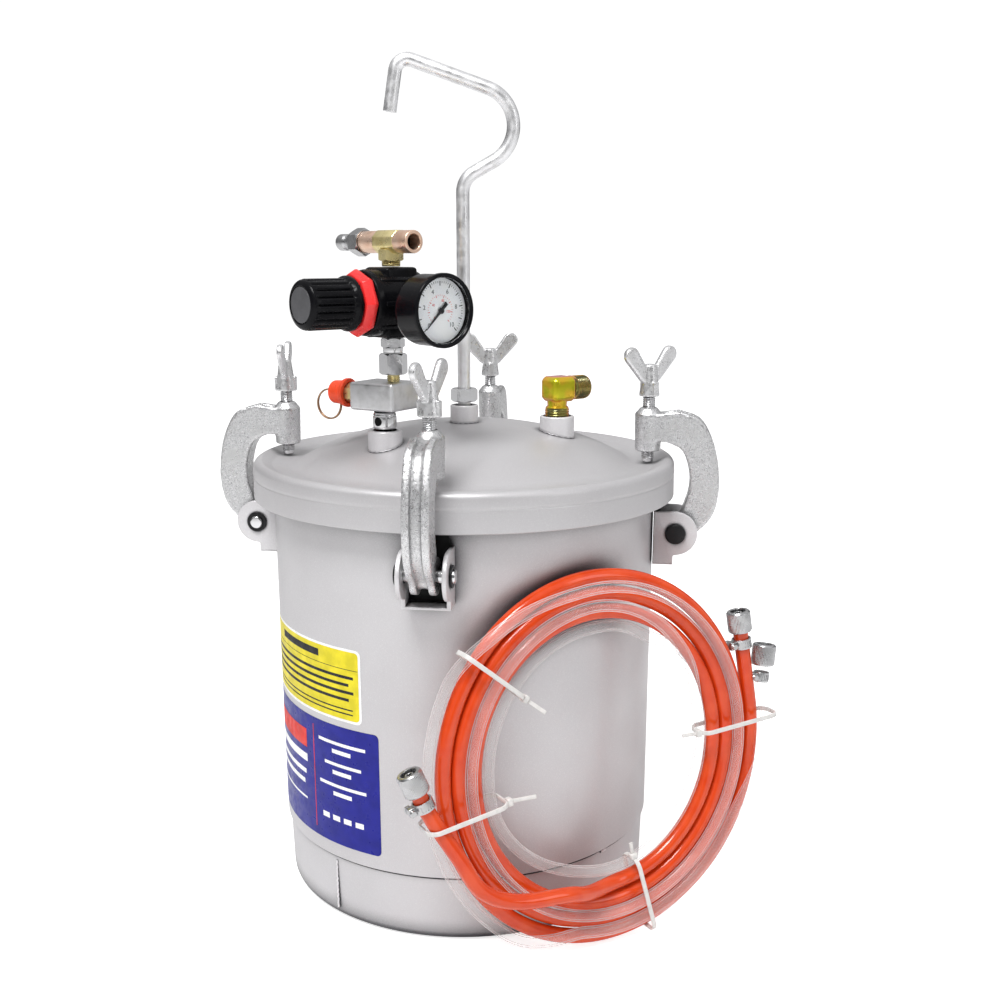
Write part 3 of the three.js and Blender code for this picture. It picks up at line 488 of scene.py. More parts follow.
def plated(name, shade, roughness, clouds=0.0):
    """Bright plating: thin drawn lines, and clouds where the bath left it dull."""
    look = Look(name, (shade, shade, shade * 1.015), Metallic=1, Roughness=roughness)
    look.tint(look.noise(5, 3), (shade * (1 - clouds),) * 3, 0.4, 0.7)
    look.vary("Roughness", look.noise(7, 3), roughness * 0.8, roughness * (1.25 + clouds))
    return look.bump(look.noise(0.6, 2, (1, 1, 14)), 0.012).bump(look.noise(3, 3), 0.03 * (1 + clouds)).material


def brass(name, colour, dull):
    """Machined brass with fine tool marks and a little tarnish."""
    look = Look(name, colour, Metallic=0.85, Roughness=0.3)
    look.tint(look.noise(6, 2), dull, 0.4, 0.75)
    look.vary("Roughness", look.noise(4, 3), 0.26, 0.42)
    return look.bump(look.noise(1.2, 2), 0.008).material


def passivated(name, colour, shift):
    """Yellow passivation: one thin film that turns from olive to gold, orange and pink with the angle."""
    look = Look(name, colour, Metallic=0.55, Roughness=0.18)
    edge = look.tree.nodes.new("ShaderNodeLayerWeight")
    edge.inputs["Blend"].default_value = 0.5
    look.tint(look.noise(7, 0), shift, 0.45, 0.62)
    look.tint(edge.outputs["Facing"], (0.78, 0.40, 0.06), 0.4, 0.6)
    look.tint(edge.outputs["Facing"], (0.74, 0.22, 0.20), 0.6, 0.8)
    look.vary("Roughness", look.noise(2, 3), 0.12, 0.24)
    return look.bump(look.noise(0.5, 2), 0.015).material


def moulded(name, colour, roughness, grain=0.6, coat=0.0, shine=0.24):
    """Moulded plastic or baked paint: a fine grain, with roughness that wanders."""
    look = Look(name, colour, Roughness=roughness, Coat_Weight=coat, Coat_Roughness=0.08)
    look.shader.inputs["Specular IOR Level"].default_value = shine
    look.tint(look.noise(8, 3), [min(1, c * 1.25 + 0.001) for c in colour])
    look.vary("Roughness", look.noise(5, 3), roughness * 0.8, roughness * 1.3)
    return look.bump(look.noise(grain, 2), 0.02).bump(look.noise(9, 2), 0.04).material


def orange_hose():
    """Tinted soft plastic."""
    look = Look("orange_hose", (0.64, 0.05, 0.006), Roughness=0.12, Specular_IOR_Level=0.5)
    look.tint(look.noise(14, 2), (0.70, 0.07, 0.012))
    look.vary("Roughness", look.noise(6, 3), 0.08, 0.18)
    return look.bump(look.noise(3, 2), 0.03).material


def clear_hose():
    """Clear soft plastic: seen through in the middle and whiter towards its edges, partly the wall seen edge-on and
    partly a painted sheen for light caught along the tube.
    """
    look = Look("clear_hose", (1.0, 0.98, 0.97), Roughness=0.1, Specular_IOR_Level=1.0)
    look.tint(look.noise(12, 2), (0.90, 0.87, 0.86))
    edge = look.tree.nodes.new("ShaderNodeLayerWeight")
    edge.inputs["Blend"].default_value = 0.4
    # Painted sheen in part: the white, more opaque edges stand in for light caught along the tube's sides.
    look.vary("Alpha", edge.outputs["Facing"], 0.06, 0.75, 0.35, 0.85)
    look.vary("Roughness", look.noise(6, 3), 0.06, 0.18)
    return look.bump(look.noise(3, 2), 0.04).material


def nylon():
    look = Look("nylon", (0.74, 0.72, 0.70), Roughness=0.35, Subsurface_Weight=0.3)
    look.shader.inputs["Subsurface Radius"].default_value = (0.001, 0.001, 0.001)
    look.tint(look.noise(3, 2), (0.66, 0.65, 0.63))
    return look.bump(look.noise(0.8, 2), 0.03).material


def glass():
    look = Look("gauge_glass", (0.97, 0.98, 0.98), Roughness=0.02, Transmission_Weight=1.0, IOR=1.1)
    look.vary("Roughness", look.noise(4, 2), 0.01, 0.05)
    return look.bump(look.noise(6, 2), 0.01).material


# Every silver paint and cast zinc below is darkened by painted shade where other surfaces crowd in; a silver paint's
# third number, 20 if left out, is how far that shade reaches, in millimetres.
TANK_PAINT = silver_paint("tank_paint", 0.58)
# The lid has the tank's paint: this copy is made darker so that the lid's upper faces, which take the most light,
# carry painted shade.
SHADED_LID_PAINT = silver_paint("lid_paint_painted_shade", 0.52, 8)
BOSS_PAINT = silver_paint("boss_paint", 0.76, 3)
ROUGH_ZINC = cast_zinc("rough_zinc", 0.72, 0.52, 0.22)
FINE_ZINC = cast_zinc("fine_zinc", 0.76, 0.3, 0.1)
BRACKET_ZINC = silver_paint("bracket_zinc", 0.68, 3)
BRIGHT_ZINC = plated("bright_zinc", 0.72, 0.2, 0.12)
PALE_ZINC = plated("pale_zinc", 0.88, 0.4, 0.1)
NICKEL = plated("nickel", 0.66, 0.09)
CLOUDY_NICKEL = plated("cloudy_nickel", 0.72, 0.36, 0.16)
STAINLESS = plated("stainless", 0.5, 0.26)
BRONZE = brass("bronze", (0.42, 0.26, 0.16), (0.25, 0.15, 0.09))
BRASS = brass("brass", (0.86, 0.74, 0.38), (0.72, 0.60, 0.26))
COPPERY = brass("coppery_brass", (0.86, 0.62, 0.48), (0.74, 0.48, 0.34))
PASSIVATION = passivated("passivation", (0.50, 0.47, 0.01), (0.66, 0.42, 0.02))
OLIVE = passivated("olive", (0.20, 0.18, 0.04), (0.08, 0.08, 0.03))
BLACK_OXIDE = moulded("black_oxide", (0.012, 0.012, 0.013), 0.34)
BLACK_GLOSS = moulded("black_gloss", (0.003, 0.003, 0.004), 0.18, shine=0.12)
BLACK_SATIN = moulded("black_satin", (0.004, 0.004, 0.005), 0.24, shine=0.1)
GREY_CAP = moulded("grey_cap", (0.07, 0.07, 0.074), 0.42)
RUBBER = moulded("rubber", (0.02, 0.02, 0.021), 0.7)
RED = moulded("red", (0.74, 0.025, 0.025), 0.26, coat=0.4)
ORANGE_CAP = moulded("orange_cap", (0.80, 0.075, 0.025), 0.32)
ORANGE_HOSE = orange_hose()
CLEAR_HOSE = clear_hose()
NYLON = nylon()
DIAL_WHITE = moulded("dial_white", (0.93, 0.94, 0.97), 0.5)
INK_BLACK = moulded("ink_black", (0.02, 0.02, 0.022), 0.5)
INK_RED = moulded("ink_red", (0.66, 0.05, 0.04), 0.5)
GLASS = glass()
LABEL_WHITE = moulded("label_white", (0.86, 0.86, 0.86), 0.34)
LABEL_YELLOW = moulded("label_yellow", (0.68, 0.58, 0.02), 0.4, 5)
LABEL_BLUE = moulded("label_blue", (0.010, 0.012, 0.22), 0.34, 5)
SHADOW_BLACK = moulded("shadow_black", (0.004, 0.004, 0.004), 0.6)

# ---- tank and foot ring ----

DISH = {"edge": TANK_R - 4.4, "top": SEAM_Z - 3, "depth": 10}
BUTT_WELD = -123  # bearing of the foot ring's upright weld
TACKS = (-36, 60, 150)  # bearings of the tack welds between ring and tank


def dish(r):
    return DISH["top"] - DISH["depth"] * (1 - (r / DISH["edge"]) ** 2)


def tank():
    radii = range(0, 109, 12)
    under = [(r, dish(r)) for r in radii]
    inside = [(r, dish(r) + WALL) for r in reversed(radii)]
    wall = outline(
        [
            (108, dish(108)),
            (DISH["edge"], SEAM_Z - 1.8, 1.5),
            (DISH["edge"], SEAM_Z + GAP, 1),
            (TANK_R, SEAM_Z + GAP, 1.3),
            (TANK_R, RIM_Z - 7, 3),
            (RIM_R, RIM_Z - 3, 1.2),
            (RIM_R, RIM_Z, 0.6),
            (TANK_R - WALL, RIM_Z, 0.8),
            (TANK_R - WALL, SEAM_Z + 4, 3),
            (108, dish(108) + WALL),
        ],
        False,
    )
    add("tank_wall", turned([*under, *wall[1:-1], *inside], 180), TANK_PAINT, "tank_shell")


def seam_gap(angle):
    """How far the ring's top edge drops from the tank, wide where no weld has pulled it up."""
    near_weld = max(math.exp(-(((angle - tack + 180) % 360 - 180) ** 2) / 6) for tack in TACKS)
    sag = 0.5 + 0.5 * math.sin(math.radians(2 * angle + 20)) * math.sin(math.radians(angle - 30))
    return 0.1 + 0.75 * sag * (1 - near_weld)


def foot():
    lip = reach("foot_ring", -1, 0.5)
    shape = outline(
        [
            (lip - 5, 0, 0.4),
            (FOOT_R - 1.2, 0, 6),
            (FOOT_R, SEAM_Z, 0.5),
            (FOOT_R - WALL, SEAM_Z, 0.5),
            (FOOT_R - WALL - 1, WALL, 4),
            (lip - 5, WALL, 0.4),
        ]
    )
    mesh = turned(shape, 180, True)
    for vertex in mesh.vertices:
        if vertex.co.z > SEAM_Z - 3:
            vertex.co.z -= seam_gap(bearing(vertex.co))
    add("foot_wall", mesh, TANK_PAINT, "foot_ring")

    bead = [(*((FOOT_R + 0.1 + 0.15 * math.sin(2.3 * z)) * turn(BUTT_WELD + 0.1 * math.sin(1.7 * z))), z) for z in range(7, 40)]
    add("foot_weld", swept(bead, 0.7, 8), BOSS_PAINT, "foot_ring", False)
    for k, angle in enumerate(TACKS):
        blob = [(*(FOOT_R * turn(angle + s / 2)), SEAM_Z - 0.4) for s in (-2, -1, 0, 1, 2)]
        add(f"tack_weld_{k + 1}", swept(blob, 1.3, 10), BOSS_PAINT, "foot_ring", False)


# ---- labels: thin stickers with rounded corners, their wording left as plain bars ----


def patch(start, end, bottom, top, lift, corner=0.0):
    """A thin curved sheet on the tank's wall, between two bearings and two heights."""
    width = math.radians(end - start) * TANK_R
    edge = outline([(x, z, corner) if corner else (x, z) for x, z in ((0, bottom), (width, bottom), (width, top), (0, top))])
    across = [x for x in (width * k / 24 for k in range(25))]
    work = bmesh.new()
    face = work.faces.new([work.verts.new((p[0], 0, p[1])) for p in edge])
    for x in across[1:-1]:
        geometry = [*work.verts, *work.edges, *work.faces]
        bmesh.ops.bisect_plane(work, geom=geometry, plane_co=(x, 0, 0), plane_no=(1, 0, 0))
    flat = bpy.data.meshes.new("patch")
    work.to_mesh(flat)
    work.free()
    sheet = changed(flat, "SOLIDIFY", thickness=0.04, offset=0)
    for vertex in sheet.vertices:
        angle = start + math.degrees(vertex.co.x / TANK_R)
        r = TANK_R + lift - vertex.co.y
        vertex.co = (*(r * turn(angle)), vertex.co.z)
    return sheet


def bars(rows, lift):
    """Plain bars in place of lines of print: each row is (start, end, bottom, top)."""
    return gathered(*[patch(*row, lift) for row in rows])


def yellow_label():
    start, end, bottom, top = -168, -111, 132.5, 178
    add("label_yellow_edge", patch(start, end, bottom, top, 0.06, 3.5), LABEL_WHITE, "tank_shell", False)
    inner = patch(start + 0.8, end - 0.8, bottom + 1.6, top - 1.6, 0.13, 2.6)
    add("label_yellow_field", inner, LABEL_YELLOW, "tank_shell", False)
    heading = [(-150, -127, 169, 173.4)]
    rule = [(start + 1, end - 1, 165.2, 165.5)]
    lines = [(-163, -113.6 - 1.7 * (k % 2), 159.6 - 4.6 * k, 161.4 - 4.6 * k) for k in range(4)]
    small = [(-160, -114, 140.2 - 2.8 * k, 141 - 2.8 * k) for k in range(2)]
    add("label_yellow_print", bars(heading + rule + lines + small, 0.19), INK_BLACK, "tank_shell", False)


def blue_label():
    start, end, bottom, top = -182, -105.8, 51.5, 128.5
    add("label_blue_field", patch(start, end, bottom, top, 0.12, 3), LABEL_BLUE, "tank_shell", False)
    divider = [(-131.2, -130.9, 57, 124)]
    emblem = [(-166, -135, 106, 118)]
    add("label_blue_red_print", bars(divider + emblem, 0.19), INK_RED, "tank_shell", False)
    rows = []
    for k, z in enumerate((116, 102.4, 88.6)):
        rows += [(-128.4 + (k == 1) * 2.5, -110.2 - (k == 1) * 1.6, z, z + 2), (-122.6, -115.4, z - 5.6, z - 3)]
    marks = [(-127.5 + 4.4 * k, -124.6 + 4.4 * k, 66.5, 69.9) for k in range(4)]
    left = [(-166, -135, 96.5, 101.5), (-160, -136, 88, 91), (-160, -137, 81, 84), (-166, -136, 71, 72.4)]
    add("label_blue_white_print", bars(rows + marks + left, 0.19), LABEL_WHITE, "tank_shell", False)


# ---- lid ----

DOME = {"top": 295.5, "valley_r": 108, "valley_z": 270.4, "power": 2.6}
LID_WALL = 2.2
CREST = Vector((127.2, 275.2))
BOSSES = {
    "hook_boss": (HOOK_AT, 8.8, 306.5, 4.4),
    "inlet_boss": (INLET_AT, 10.2, 297.3, 6.2),
    "outlet_boss": (OUTLET_AT, 10.7, 301.1, 8),
}


def dome(r):
    return DOME["top"] - (DOME["top"] - DOME["valley_z"]) * (r / DOME["valley_r"]) ** DOME["power"]


def lid():
    radii = range(0, 107, 6)
    inner_r = LID_R - LID_WALL
    rim = outline(
        [
            (108, dome(106) - LID_WALL),
            (114, 270.3, 2),
            (126, 270.3, 2),
            (inner_r, 267, 2),
            (inner_r, SKIRT_Z, 0.6),
            (LID_R, SKIRT_Z, 0.9),
            (LID_R - 0.25, 264.9, 1.5),
            (LID_R - 0.55, 265.6, 1),
            (LID_R, 267.2, 2),
            (LID_R - 0.6, 274.6, 4.2),
            (CREST.x, CREST.y + 0.5, 4),
            (120.4, 272.4, 4),
            (111, 271.7, 5),
            (106, dome(106)),
        ],
        False,
    )
    top = [(r, dome(r)) for r in reversed(radii)]
    under = [(r, dome(r) - LID_WALL) for r in radii]
    mesh = turned([*under, *rim, *top], 200)
    holes = [bar_at(place, bore, 250, 320) for place, _, _, bore in BOSSES.values()]
    add("lid_shell", cut(mesh, *holes), SHADED_LID_PAINT, "lid")
    for name, (place, r, height, bore) in BOSSES.items():
        add(name, boss(place, r, height, bore), BOSS_PAINT, "lid", False)
        bead = []
        for angle in range(0, 360, 6):
            spot = Vector((place.x, place.y)) + (r - 0.1) * turn(angle)
            bead.append((*spot, dome(spot.length) + 0.25 + 0.2 * math.sin(math.radians(18 * angle))))
        add(f"{name}_weld", swept(bead, 0.55, 10, True), SHADED_LID_PAINT, "lid", False)


def bar_at(place, r, bottom, top):
    return moved(bar(r, bottom, top), Matrix.Translation((place.x, place.y, 0)))


def boss(place, r, height, bore):
    foot_z = dome(math.hypot(place.x, place.y) + r) - 1
    shape = [(bore, foot_z), (r, foot_z), (r, height, 0.9), (bore + 0.8, height, 0.3), (bore, height - 1, 0.3)]
    return moved(turned(outline(shape), 64, True), Matrix.Translation((place.x, place.y, 0)))


def gasket():
    low_z, high_z = low("lid_gasket").z, high("lid_gasket").z
    inner, outer = 117.5, reach("lid_gasket")
    shape = [(inner, low_z, 1), (outer, low_z, 1), (outer, high_z, 1), (inner, high_z, 1)]
    add("rubber_seal", turned(outline(shape), 160, True), RUBBER, "lid_gasket")


# ---- clamps: X is outwards from the pot's axis, Y runs along the tank's wall ----

EAR = {"outside": 14, "thick": 2.6, "r": 13.6, "bottom": 210.5, "foot": 133, "top": 244}
BACK = {"near": TANK_R + 0.4, "thick": 2.6, "top": 256, "top_half": 8}
ARM = {"wide": 15, "flange": 4.4, "channel": 3.4, "knuckle": 10.6}
BARREL = {"r": 8.5, "bottom": 279.8, "top": 302.8, "collar": 306.8, "collar_r": 6}
WING = {"bottom": 313.6, "bottom_r": 6.4, "top": 334.4, "top_r": 3.9, "thick": 3.9}
RUNNING = 0.3


def across(mesh, at=0):
    """A piece turned about Z laid along the clamp's pin, its height measured from the arm's middle."""
    return moved(mesh, Matrix.Translation((PIVOT.x, at, PIVOT.z)) @ Matrix.Rotation(-math.pi / 2, 4, "X"))


def bracket_ear(side):
    shape = [
        *outline([(BACK["near"], EAR["bottom"] + 0.4), (EAR["foot"], EAR["bottom"] + 0.4, 0.8), (EAR["foot"], 216.2)], False),
        *arc(PIVOT.x, PIVOT.z, EAR["r"], -88, 88, 6),
        (BACK["near"], EAR["top"]),
    ]
    ear = plate(shape, EAR["thick"], side * (EAR["outside"] - EAR["thick"] / 2))
    hole = across(bar(ROD_R + RUNNING, -20, 20))
    return softened(cut(ear, hole), 0.5)


def bracket_sill():
    half = EAR["outside"]
    return softened(box(BACK["near"], EAR["foot"], -half, half, EAR["bottom"], EAR["bottom"] + 1.6), 0.4)


def bracket_back():
    half = EAR["outside"] - EAR["thick"] - 0.1
    shape = [(-half, 213), (half, 213), (half + 2, EAR["top"]), (BACK["top_half"], BACK["top"])]
    shape += [(-BACK["top_half"], BACK["top"]), (-half - 2, EAR["top"])]
    upright = moved(prism(shape, 0, BACK["thick"]), Matrix.Rotation(math.pi / 2, 4, "X"))
    upright = moved(upright, Matrix.Rotation(math.pi / 2, 4, "Z"))
    return softened(moved(upright, Matrix.Translation((BACK["near"], 0, 0))), 0.4)


def arm_outline(inset=0.0):
    """The C-shaped arm from its knuckle on the pin, up round the lid's rim, to the screw's barrel."""
    knuckle = ARM["knuckle"] - inset
    outer = [(155.5, 239), (159.6, 254), (159, 271), (154.8, 287.4), (147, 300), (134, 305)]
    heart = Vector((138, 262))
    outer = [Vector(p) + inset * (heart - Vector(p)).normalized() for p in outer]
    start = Vector((PIVOT.x, PIVOT.z)) + knuckle * turn(-20)
    inner = [(127, 286.2), (136.6, 281), (141.2, 268), (141.2, 255.5), (136.6, 240.6)]
    tail = arc(PIVOT.x, PIVOT.z, knuckle, 76, 330, 12)
    return [*through([start, *outer]), (SCREW_REACH, 302.4), (SCREW_REACH, 286.4), *through(inner), *tail]


def arm_mesh():
    """Two flanges with a web between them, its edge set back, run together with the barrel."""
    middle_of_flange = (ARM["wide"] - ARM["flange"]) / 2
    flange = softened(plate(arm_outline(), ARM["flange"]), 1.1)
    web = plate(arm_outline(ARM["channel"]), ARM["wide"] - ARM["flange"])
    barrel = turned(
        outline(
            [
                (0, BARREL["bottom"]),
                (BARREL["r"] - 0.6, BARREL["bottom"], 0.8),
                (BARREL["r"], BARREL["top"], 1.6),
                (BARREL["collar_r"], BARREL["collar"] - 1.4, 1),
                (BARREL["collar_r"] - 0.6, BARREL["collar"], 0.6),
                (0, BARREL["collar"]),
            ],
            False,
        )
    )
    flanges = [moved(flange, Matrix.Translation((0, s * middle_of_flange, 0))) for s in (-1, 1)]
    at_screw = Matrix.Translation((SCREW_REACH, 0, 0))
    rough = cast(gathered(*flanges, web, moved(barrel, at_screw)), 0.85, 0.22, 1.6)
    screw_hole = moved(bar(ROD_R + RUNNING, 270, 310), at_screw)
    return cut(rough, screw_hole, across(bar(ROD_R + RUNNING, -20, 20)))


def spindle_mesh():
    tip, top = low("clamp_spindle_right").z, high("clamp_spindle_right").z
    plain = turned(outline([(0, tip), (ROD_R - 0.6, tip, 0.8), (ROD_R - 0.6, tip + 3), (0, tip + 3)], False), 32)
    thread = threaded(ROD_R, tip + 1.8, top, 1.25, 0.6)
    return moved(gathered(plain, thread), Matrix.Translation((SCREW_REACH, 0, 0)))


def ear_outline():
    """One ear of the wing: a small round at the hub and a larger one at the tip, with straight sides."""
    root, root_r = Vector((4.6, 326)), 4.0
    tip, tip_r = Vector((14.8, 338.5)), 5.2
    lean = bearing(tip - root)
    tilt = 90 - math.degrees(math.asin((tip_r - root_r) / (tip - root).length))
    return [*arc(*tip, tip_r, lean - 180 + tilt, lean + 180 - tilt, 12), *arc(*root, root_r, lean + 180 - tilt, lean + 180 + tilt, 20)]


def wing_mesh():
    hub = turned(
        outline(
            [
                (0, WING["bottom"]),
                (WING["bottom_r"], WING["bottom"], 0.7),
                (WING["top_r"], WING["top"] - 1.5, 1.4),
                (0, WING["top"] - 1),
            ],
            False,
        ),
        40,
    )
    ear = softened(plate(ear_outline(), WING["thick"]), 1.2)
    other = moved(ear, Matrix.Rotation(math.pi, 4, "Z"))
    keys = box(-2.1, 2.1, -WING["bottom_r"] - 0.5, WING["bottom_r"] + 0.5, WING["bottom"], WING["bottom"] + 9)
    body = cast(gathered(hub, ear, other, softened(keys, 0.5)), 0.42, 0.12, 1.2, 3)
    return cut(body, bar(ROD_R + RUNNING, WING["bottom"] - 1, high("clamp_spindle_right").z + GAP))


def clip_mesh():
    """The spring clip: an open ring with three toes."""
    middle_r = reach_of_clip() - 1.3
    hoop = prism([*arc(0, 0, middle_r + 1.3, 60, 300 + 60 * 2 - 0.01, 12), *arc(0, 0, middle_r - 0.9, 419, 61, 12)], 0, 1.2)
    toes = [moved(box(3.2, middle_r, -1.1, 1.1, 0, 1.2), Matrix.Rotation(math.radians(a), 4, "Z")) for a in (80, 240, 400)]
    return softened(gathered(hoop, *toes), 0.2, 2)


def reach_of_clip():
    return max(abs(p.z - PIVOT.z) for p in points("clamp_clip_right"))


def wing_yaw(side, place):
    """The bearing of a wing's ears, from the clamp's own X."""
    at = pivot(f"clamp_{side}_wing_turn")
    return pointing(f"clamp_wing_{side}", at.x, at.y) - bearing(at)


def clamps():
    arm, spindle, wing = arm_mesh(), spindle_mesh(), wing_mesh()
    ears = gathered(bracket_ear(-1), bracket_ear(1), bracket_sill())
    back = bracket_back()
    end = EAR["outside"] + GAP
    shank = across(turned(outline([(0, -end), (ROD_R, -end), (ROD_R, end + 2.8, 1), (0, end + 2.8)], False), 32))
    head = across(turned(outline([(0, -end - 2.6), (6.2, -end - 2.4, 1.2), (6.4, -end, 0.3), (0, -end)], False), 48))
    clip = across(clip_mesh(), end)
    for side in CLAMP_SIDES:
        place = Matrix.Rotation(math.radians(bearing(pivot(f"clamp_{side}_swing"))), 4, "Z")
        screw = Matrix.Translation((SCREW_REACH, 0, 0)) @ Matrix.Rotation(math.radians(wing_yaw(side, place)), 4, "Z")
        add(f"bracket_ears_{side}", moved(ears, place), BRACKET_ZINC, f"clamp_bracket_{side}")
        add(f"bracket_back_{side}", moved(back, place), SHADOW_BLACK, f"clamp_bracket_{side}")
        add(f"pin_shank_{side}", moved(shank, place), NICKEL, f"clamp_pin_{side}")
        add(f"pin_head_{side}", moved(head, place), BLACK_OXIDE, f"clamp_pin_{side}")
        add(f"spring_clip_{side}", moved(clip, place), BLACK_OXIDE, f"clamp_clip_{side}")
        add(f"cast_arm_{side}", moved(arm, place), ROUGH_ZINC, f"clamp_arm_{side}")
        add(f"screw_thread_{side}", moved(spindle, place), BRIGHT_ZINC, f"clamp_spindle_{side}")
        add(f"wing_screw_{side}", moved(wing, place @ screw), FINE_ZINC, f"clamp_wing_{side}")


# ---- hook ----


def bent(x, z, heading, steps, spacing=2.0):
    """A path of straight runs and bends in the XZ plane: each step is (run, 0) or (radius, turn)."""
    made = [Vector((x, 0, z))]
    for size, bend in steps:
        length = size if not bend else size * abs(math.radians(bend))
        count = max(1, round(length / spacing))
        for _ in range(count):
            half = bend / count / 2
            chord = length / count if not bend else 2 * size * math.sin(abs(math.radians(half)))
            heading += half
            made.append(made[-1] + chord * Vector((turn(heading).x, 0, turn(heading).y)))
            heading += half
    return made


HOOK_STEPS = [(136, 0), (13, -61), (14, 0), (22.5, 132), (47.5, 0), (7.5, 100), (23, 0)]


def hook():
    start = low("hook_rod").z
    path = bent(0, start, 90, HOOK_STEPS, 1.5)
    place = standing(HOOK_AT.x, HOOK_AT.y, pointing("hook_rod", HOOK_AT.x, HOOK_AT.y) + 180)
    return path, place


def add_hook():
    path, place = hook()
    add("hook_bar", moved(swept(path, ROD_R, 32), place), PALE_ZINC, "hook_rod", smooth=60)
    nut_low, nut_high = low("hook_lock_nut").z, high("hook_lock_nut").z
    flats = 14.6
    nut = cut(hexagon(flats, nut_low, nut_high, 1.6), bar(ROD_R + RUNNING, nut_low - 5, nut_high + 5))
    add("hook_nut", moved(nut, place), NICKEL, "hook_lock_nut", smooth=25)


# ---- air inlet: X is away from the relief valve ----

INLET_YAW = bearing(along("relief_pull")) - 180
INLET = standing(INLET_AT.x, INLET_AT.y, INLET_YAW)
BLOCK_LOW, BLOCK_HIGH = low("manifold_block").z, high("manifold_block").z


def swivel():
    ball_z = (BOSSES["inlet_boss"][2] + BLOCK_LOW) / 2 - 0.6
    shape = [(0, ball_z - 15), (5.9, ball_z - 15), (5.9, ball_z - 5.4), (7, ball_z - 5.4)]
    shape += outline([(6, ball_z - 5.4), (7, ball_z - 3.4, 2.4), (7, ball_z + 2.4, 0.5), (6.6, ball_z + 2.9)], False)
    shape += outline([(6.6, ball_z + 3.3), (6.8, ball_z + 3.5), (6.4, ball_z + 5, 0.8), (5, ball_z + 5.2)], False)
    shape += [(5, BLOCK_LOW - 1.2), (5, BLOCK_LOW - GAP), (0, BLOCK_LOW - GAP)]
    hole = moved(bar(2.6, -12, 12), Matrix.Translation((0, 0, ball_z)) @ Matrix.Rotation(math.pi / 2, 4, "X"))
    inside = moved(bar(2.5, -6.2, 6.2), Matrix.Translation((0, 0, ball_z)) @ Matrix.Rotation(math.pi / 2, 4, "X"))
    add("swivel_bore", moved(inside, INLET), SHADOW_BLACK, "inlet_swivel", False)
    add("swivel_ball", moved(cut(turned(shape), hole), INLET), NICKEL, "inlet_swivel")
    washer = ring(5.5, 0.75)
    seat = Matrix.Translation((0, 0, BLOCK_LOW - 1.3))
    add("swivel_seal", moved(washer, INLET @ seat), RUBBER, "inlet_swivel", False)


def block():
    half_long, half_wide = 15.5, 13.5
    body = box(-half_long, half_long, -half_wide, half_wide, BLOCK_LOW, BLOCK_HIGH)
    body = softened(body, 1.5, 2)
    add("inlet_block", moved(softened(body, 0.3, 2, 15), INLET), CLOUDY_NICKEL, "manifold_block", smooth=25)


def relief_valve():
    """Measured along the way the cap pulls, from the block's face."""
    place = INLET @ Matrix.Translation((-15.5 - GAP, 0, (BLOCK_LOW + BLOCK_HIGH) / 2)) @ Matrix.Rotation(-math.pi / 2, 4, "Y")
    face, near, far = 12, 9.5, 22
    valve = gathered(hexagon(10.4, 0, face, 0.7), bar(3, face - 0.5, 15))
    add("relief_hex", moved(valve, place), BRASS, "relief_valve_body", smooth=25)
    shape = [(3.3, face + GAP), (6.5, face + GAP), (6.5, near), (8.7, near, 0.7), (8.5, near + 2.6, 0.5)]
    shape += [(7.2, near + 3.8, 0.5), (6.8, far, 2.4), (0, far), (0, 15.3), (3.3, 15.3)]
    cap = turned(outline(shape), 48, True)
    wire, loop, below = 0.55, 8.8, 7.6
    hang = Matrix.Translation((-below, 0, 25.3)) @ Matrix.Rotation(math.pi / 2, 4, "X")
    slot = moved(ring(loop, wire + 0.5, 48), hang)
    add("relief_cap", moved(cut(cap, slot), place), ORANGE_CAP, "relief_valve_cap")
    coil = [(*(loop * turn(a)), 0.9 * wire * math.sin(math.radians(a / 2))) for a in range(0, 700, 8)]
    add("split_ring", moved(swept(coil, wire, 8), place @ hang), BRONZE, "relief_pull_ring")


def stack():
    """The nipple, union and hexagons between the block and the regulator."""
    at = middle("union_nut")
    place = standing(at.x, at.y, STACK_YAW)
    top = low("union_nut").z
    add("brass_nipple", moved(threaded(3.9, BLOCK_HIGH + GAP, top - GAP, 1.1, 0.45), place), BRASS, "manifold_nipple")
    add("union_hex", moved(hexagon(14.4, top, high("union_nut").z, 1.4), place), NICKEL, "union_nut", smooth=25)
    foot_z, head_z = low("regulator_nipple").z, high("regulator_nipple").z
    collar = turned(outline([(0, foot_z), (5.7, foot_z, 0.5), (5.9, foot_z + 3.4, 0.5), (0, foot_z + 3.4)], False))
    parts = gathered(collar, hexagon(12.2, foot_z + 3, head_z, 1.1))
    add("nipple_hex", moved(parts, place), NICKEL, "regulator_nipple", smooth=25)


# ---- regulator: X is the way the gauge faces, -Y is the way the knob points ----

STACK_YAW = bearing(along("needle_turn")) + 180
STACK_AT = middle("union_nut")
STACK = standing(STACK_AT.x, STACK_AT.y, STACK_YAW)
AXIS_Z = middle("regulator_body").z
KNOB_AXIS = STACK @ Matrix.Translation((0, 0, AXIS_Z)) @ Matrix.Rotation(math.pi / 2, 4, "X")
GAUGE_AXIS = STACK @ Matrix.Translation((0, 0, middle("gauge_dial").z)) @ Matrix.Rotation(math.pi / 2, 4, "Y") @ Matrix.Rotation(math.pi / 2, 4, "Z")
KNOB = {"near": 29.7, "far": 61.5, "r": 14, "flare_r": 15.3, "ribs": 20}
GAUGE = {"back": 27.5, "front": 49.5, "r": 20.2, "glass": 17.6, "dial": 44.5}


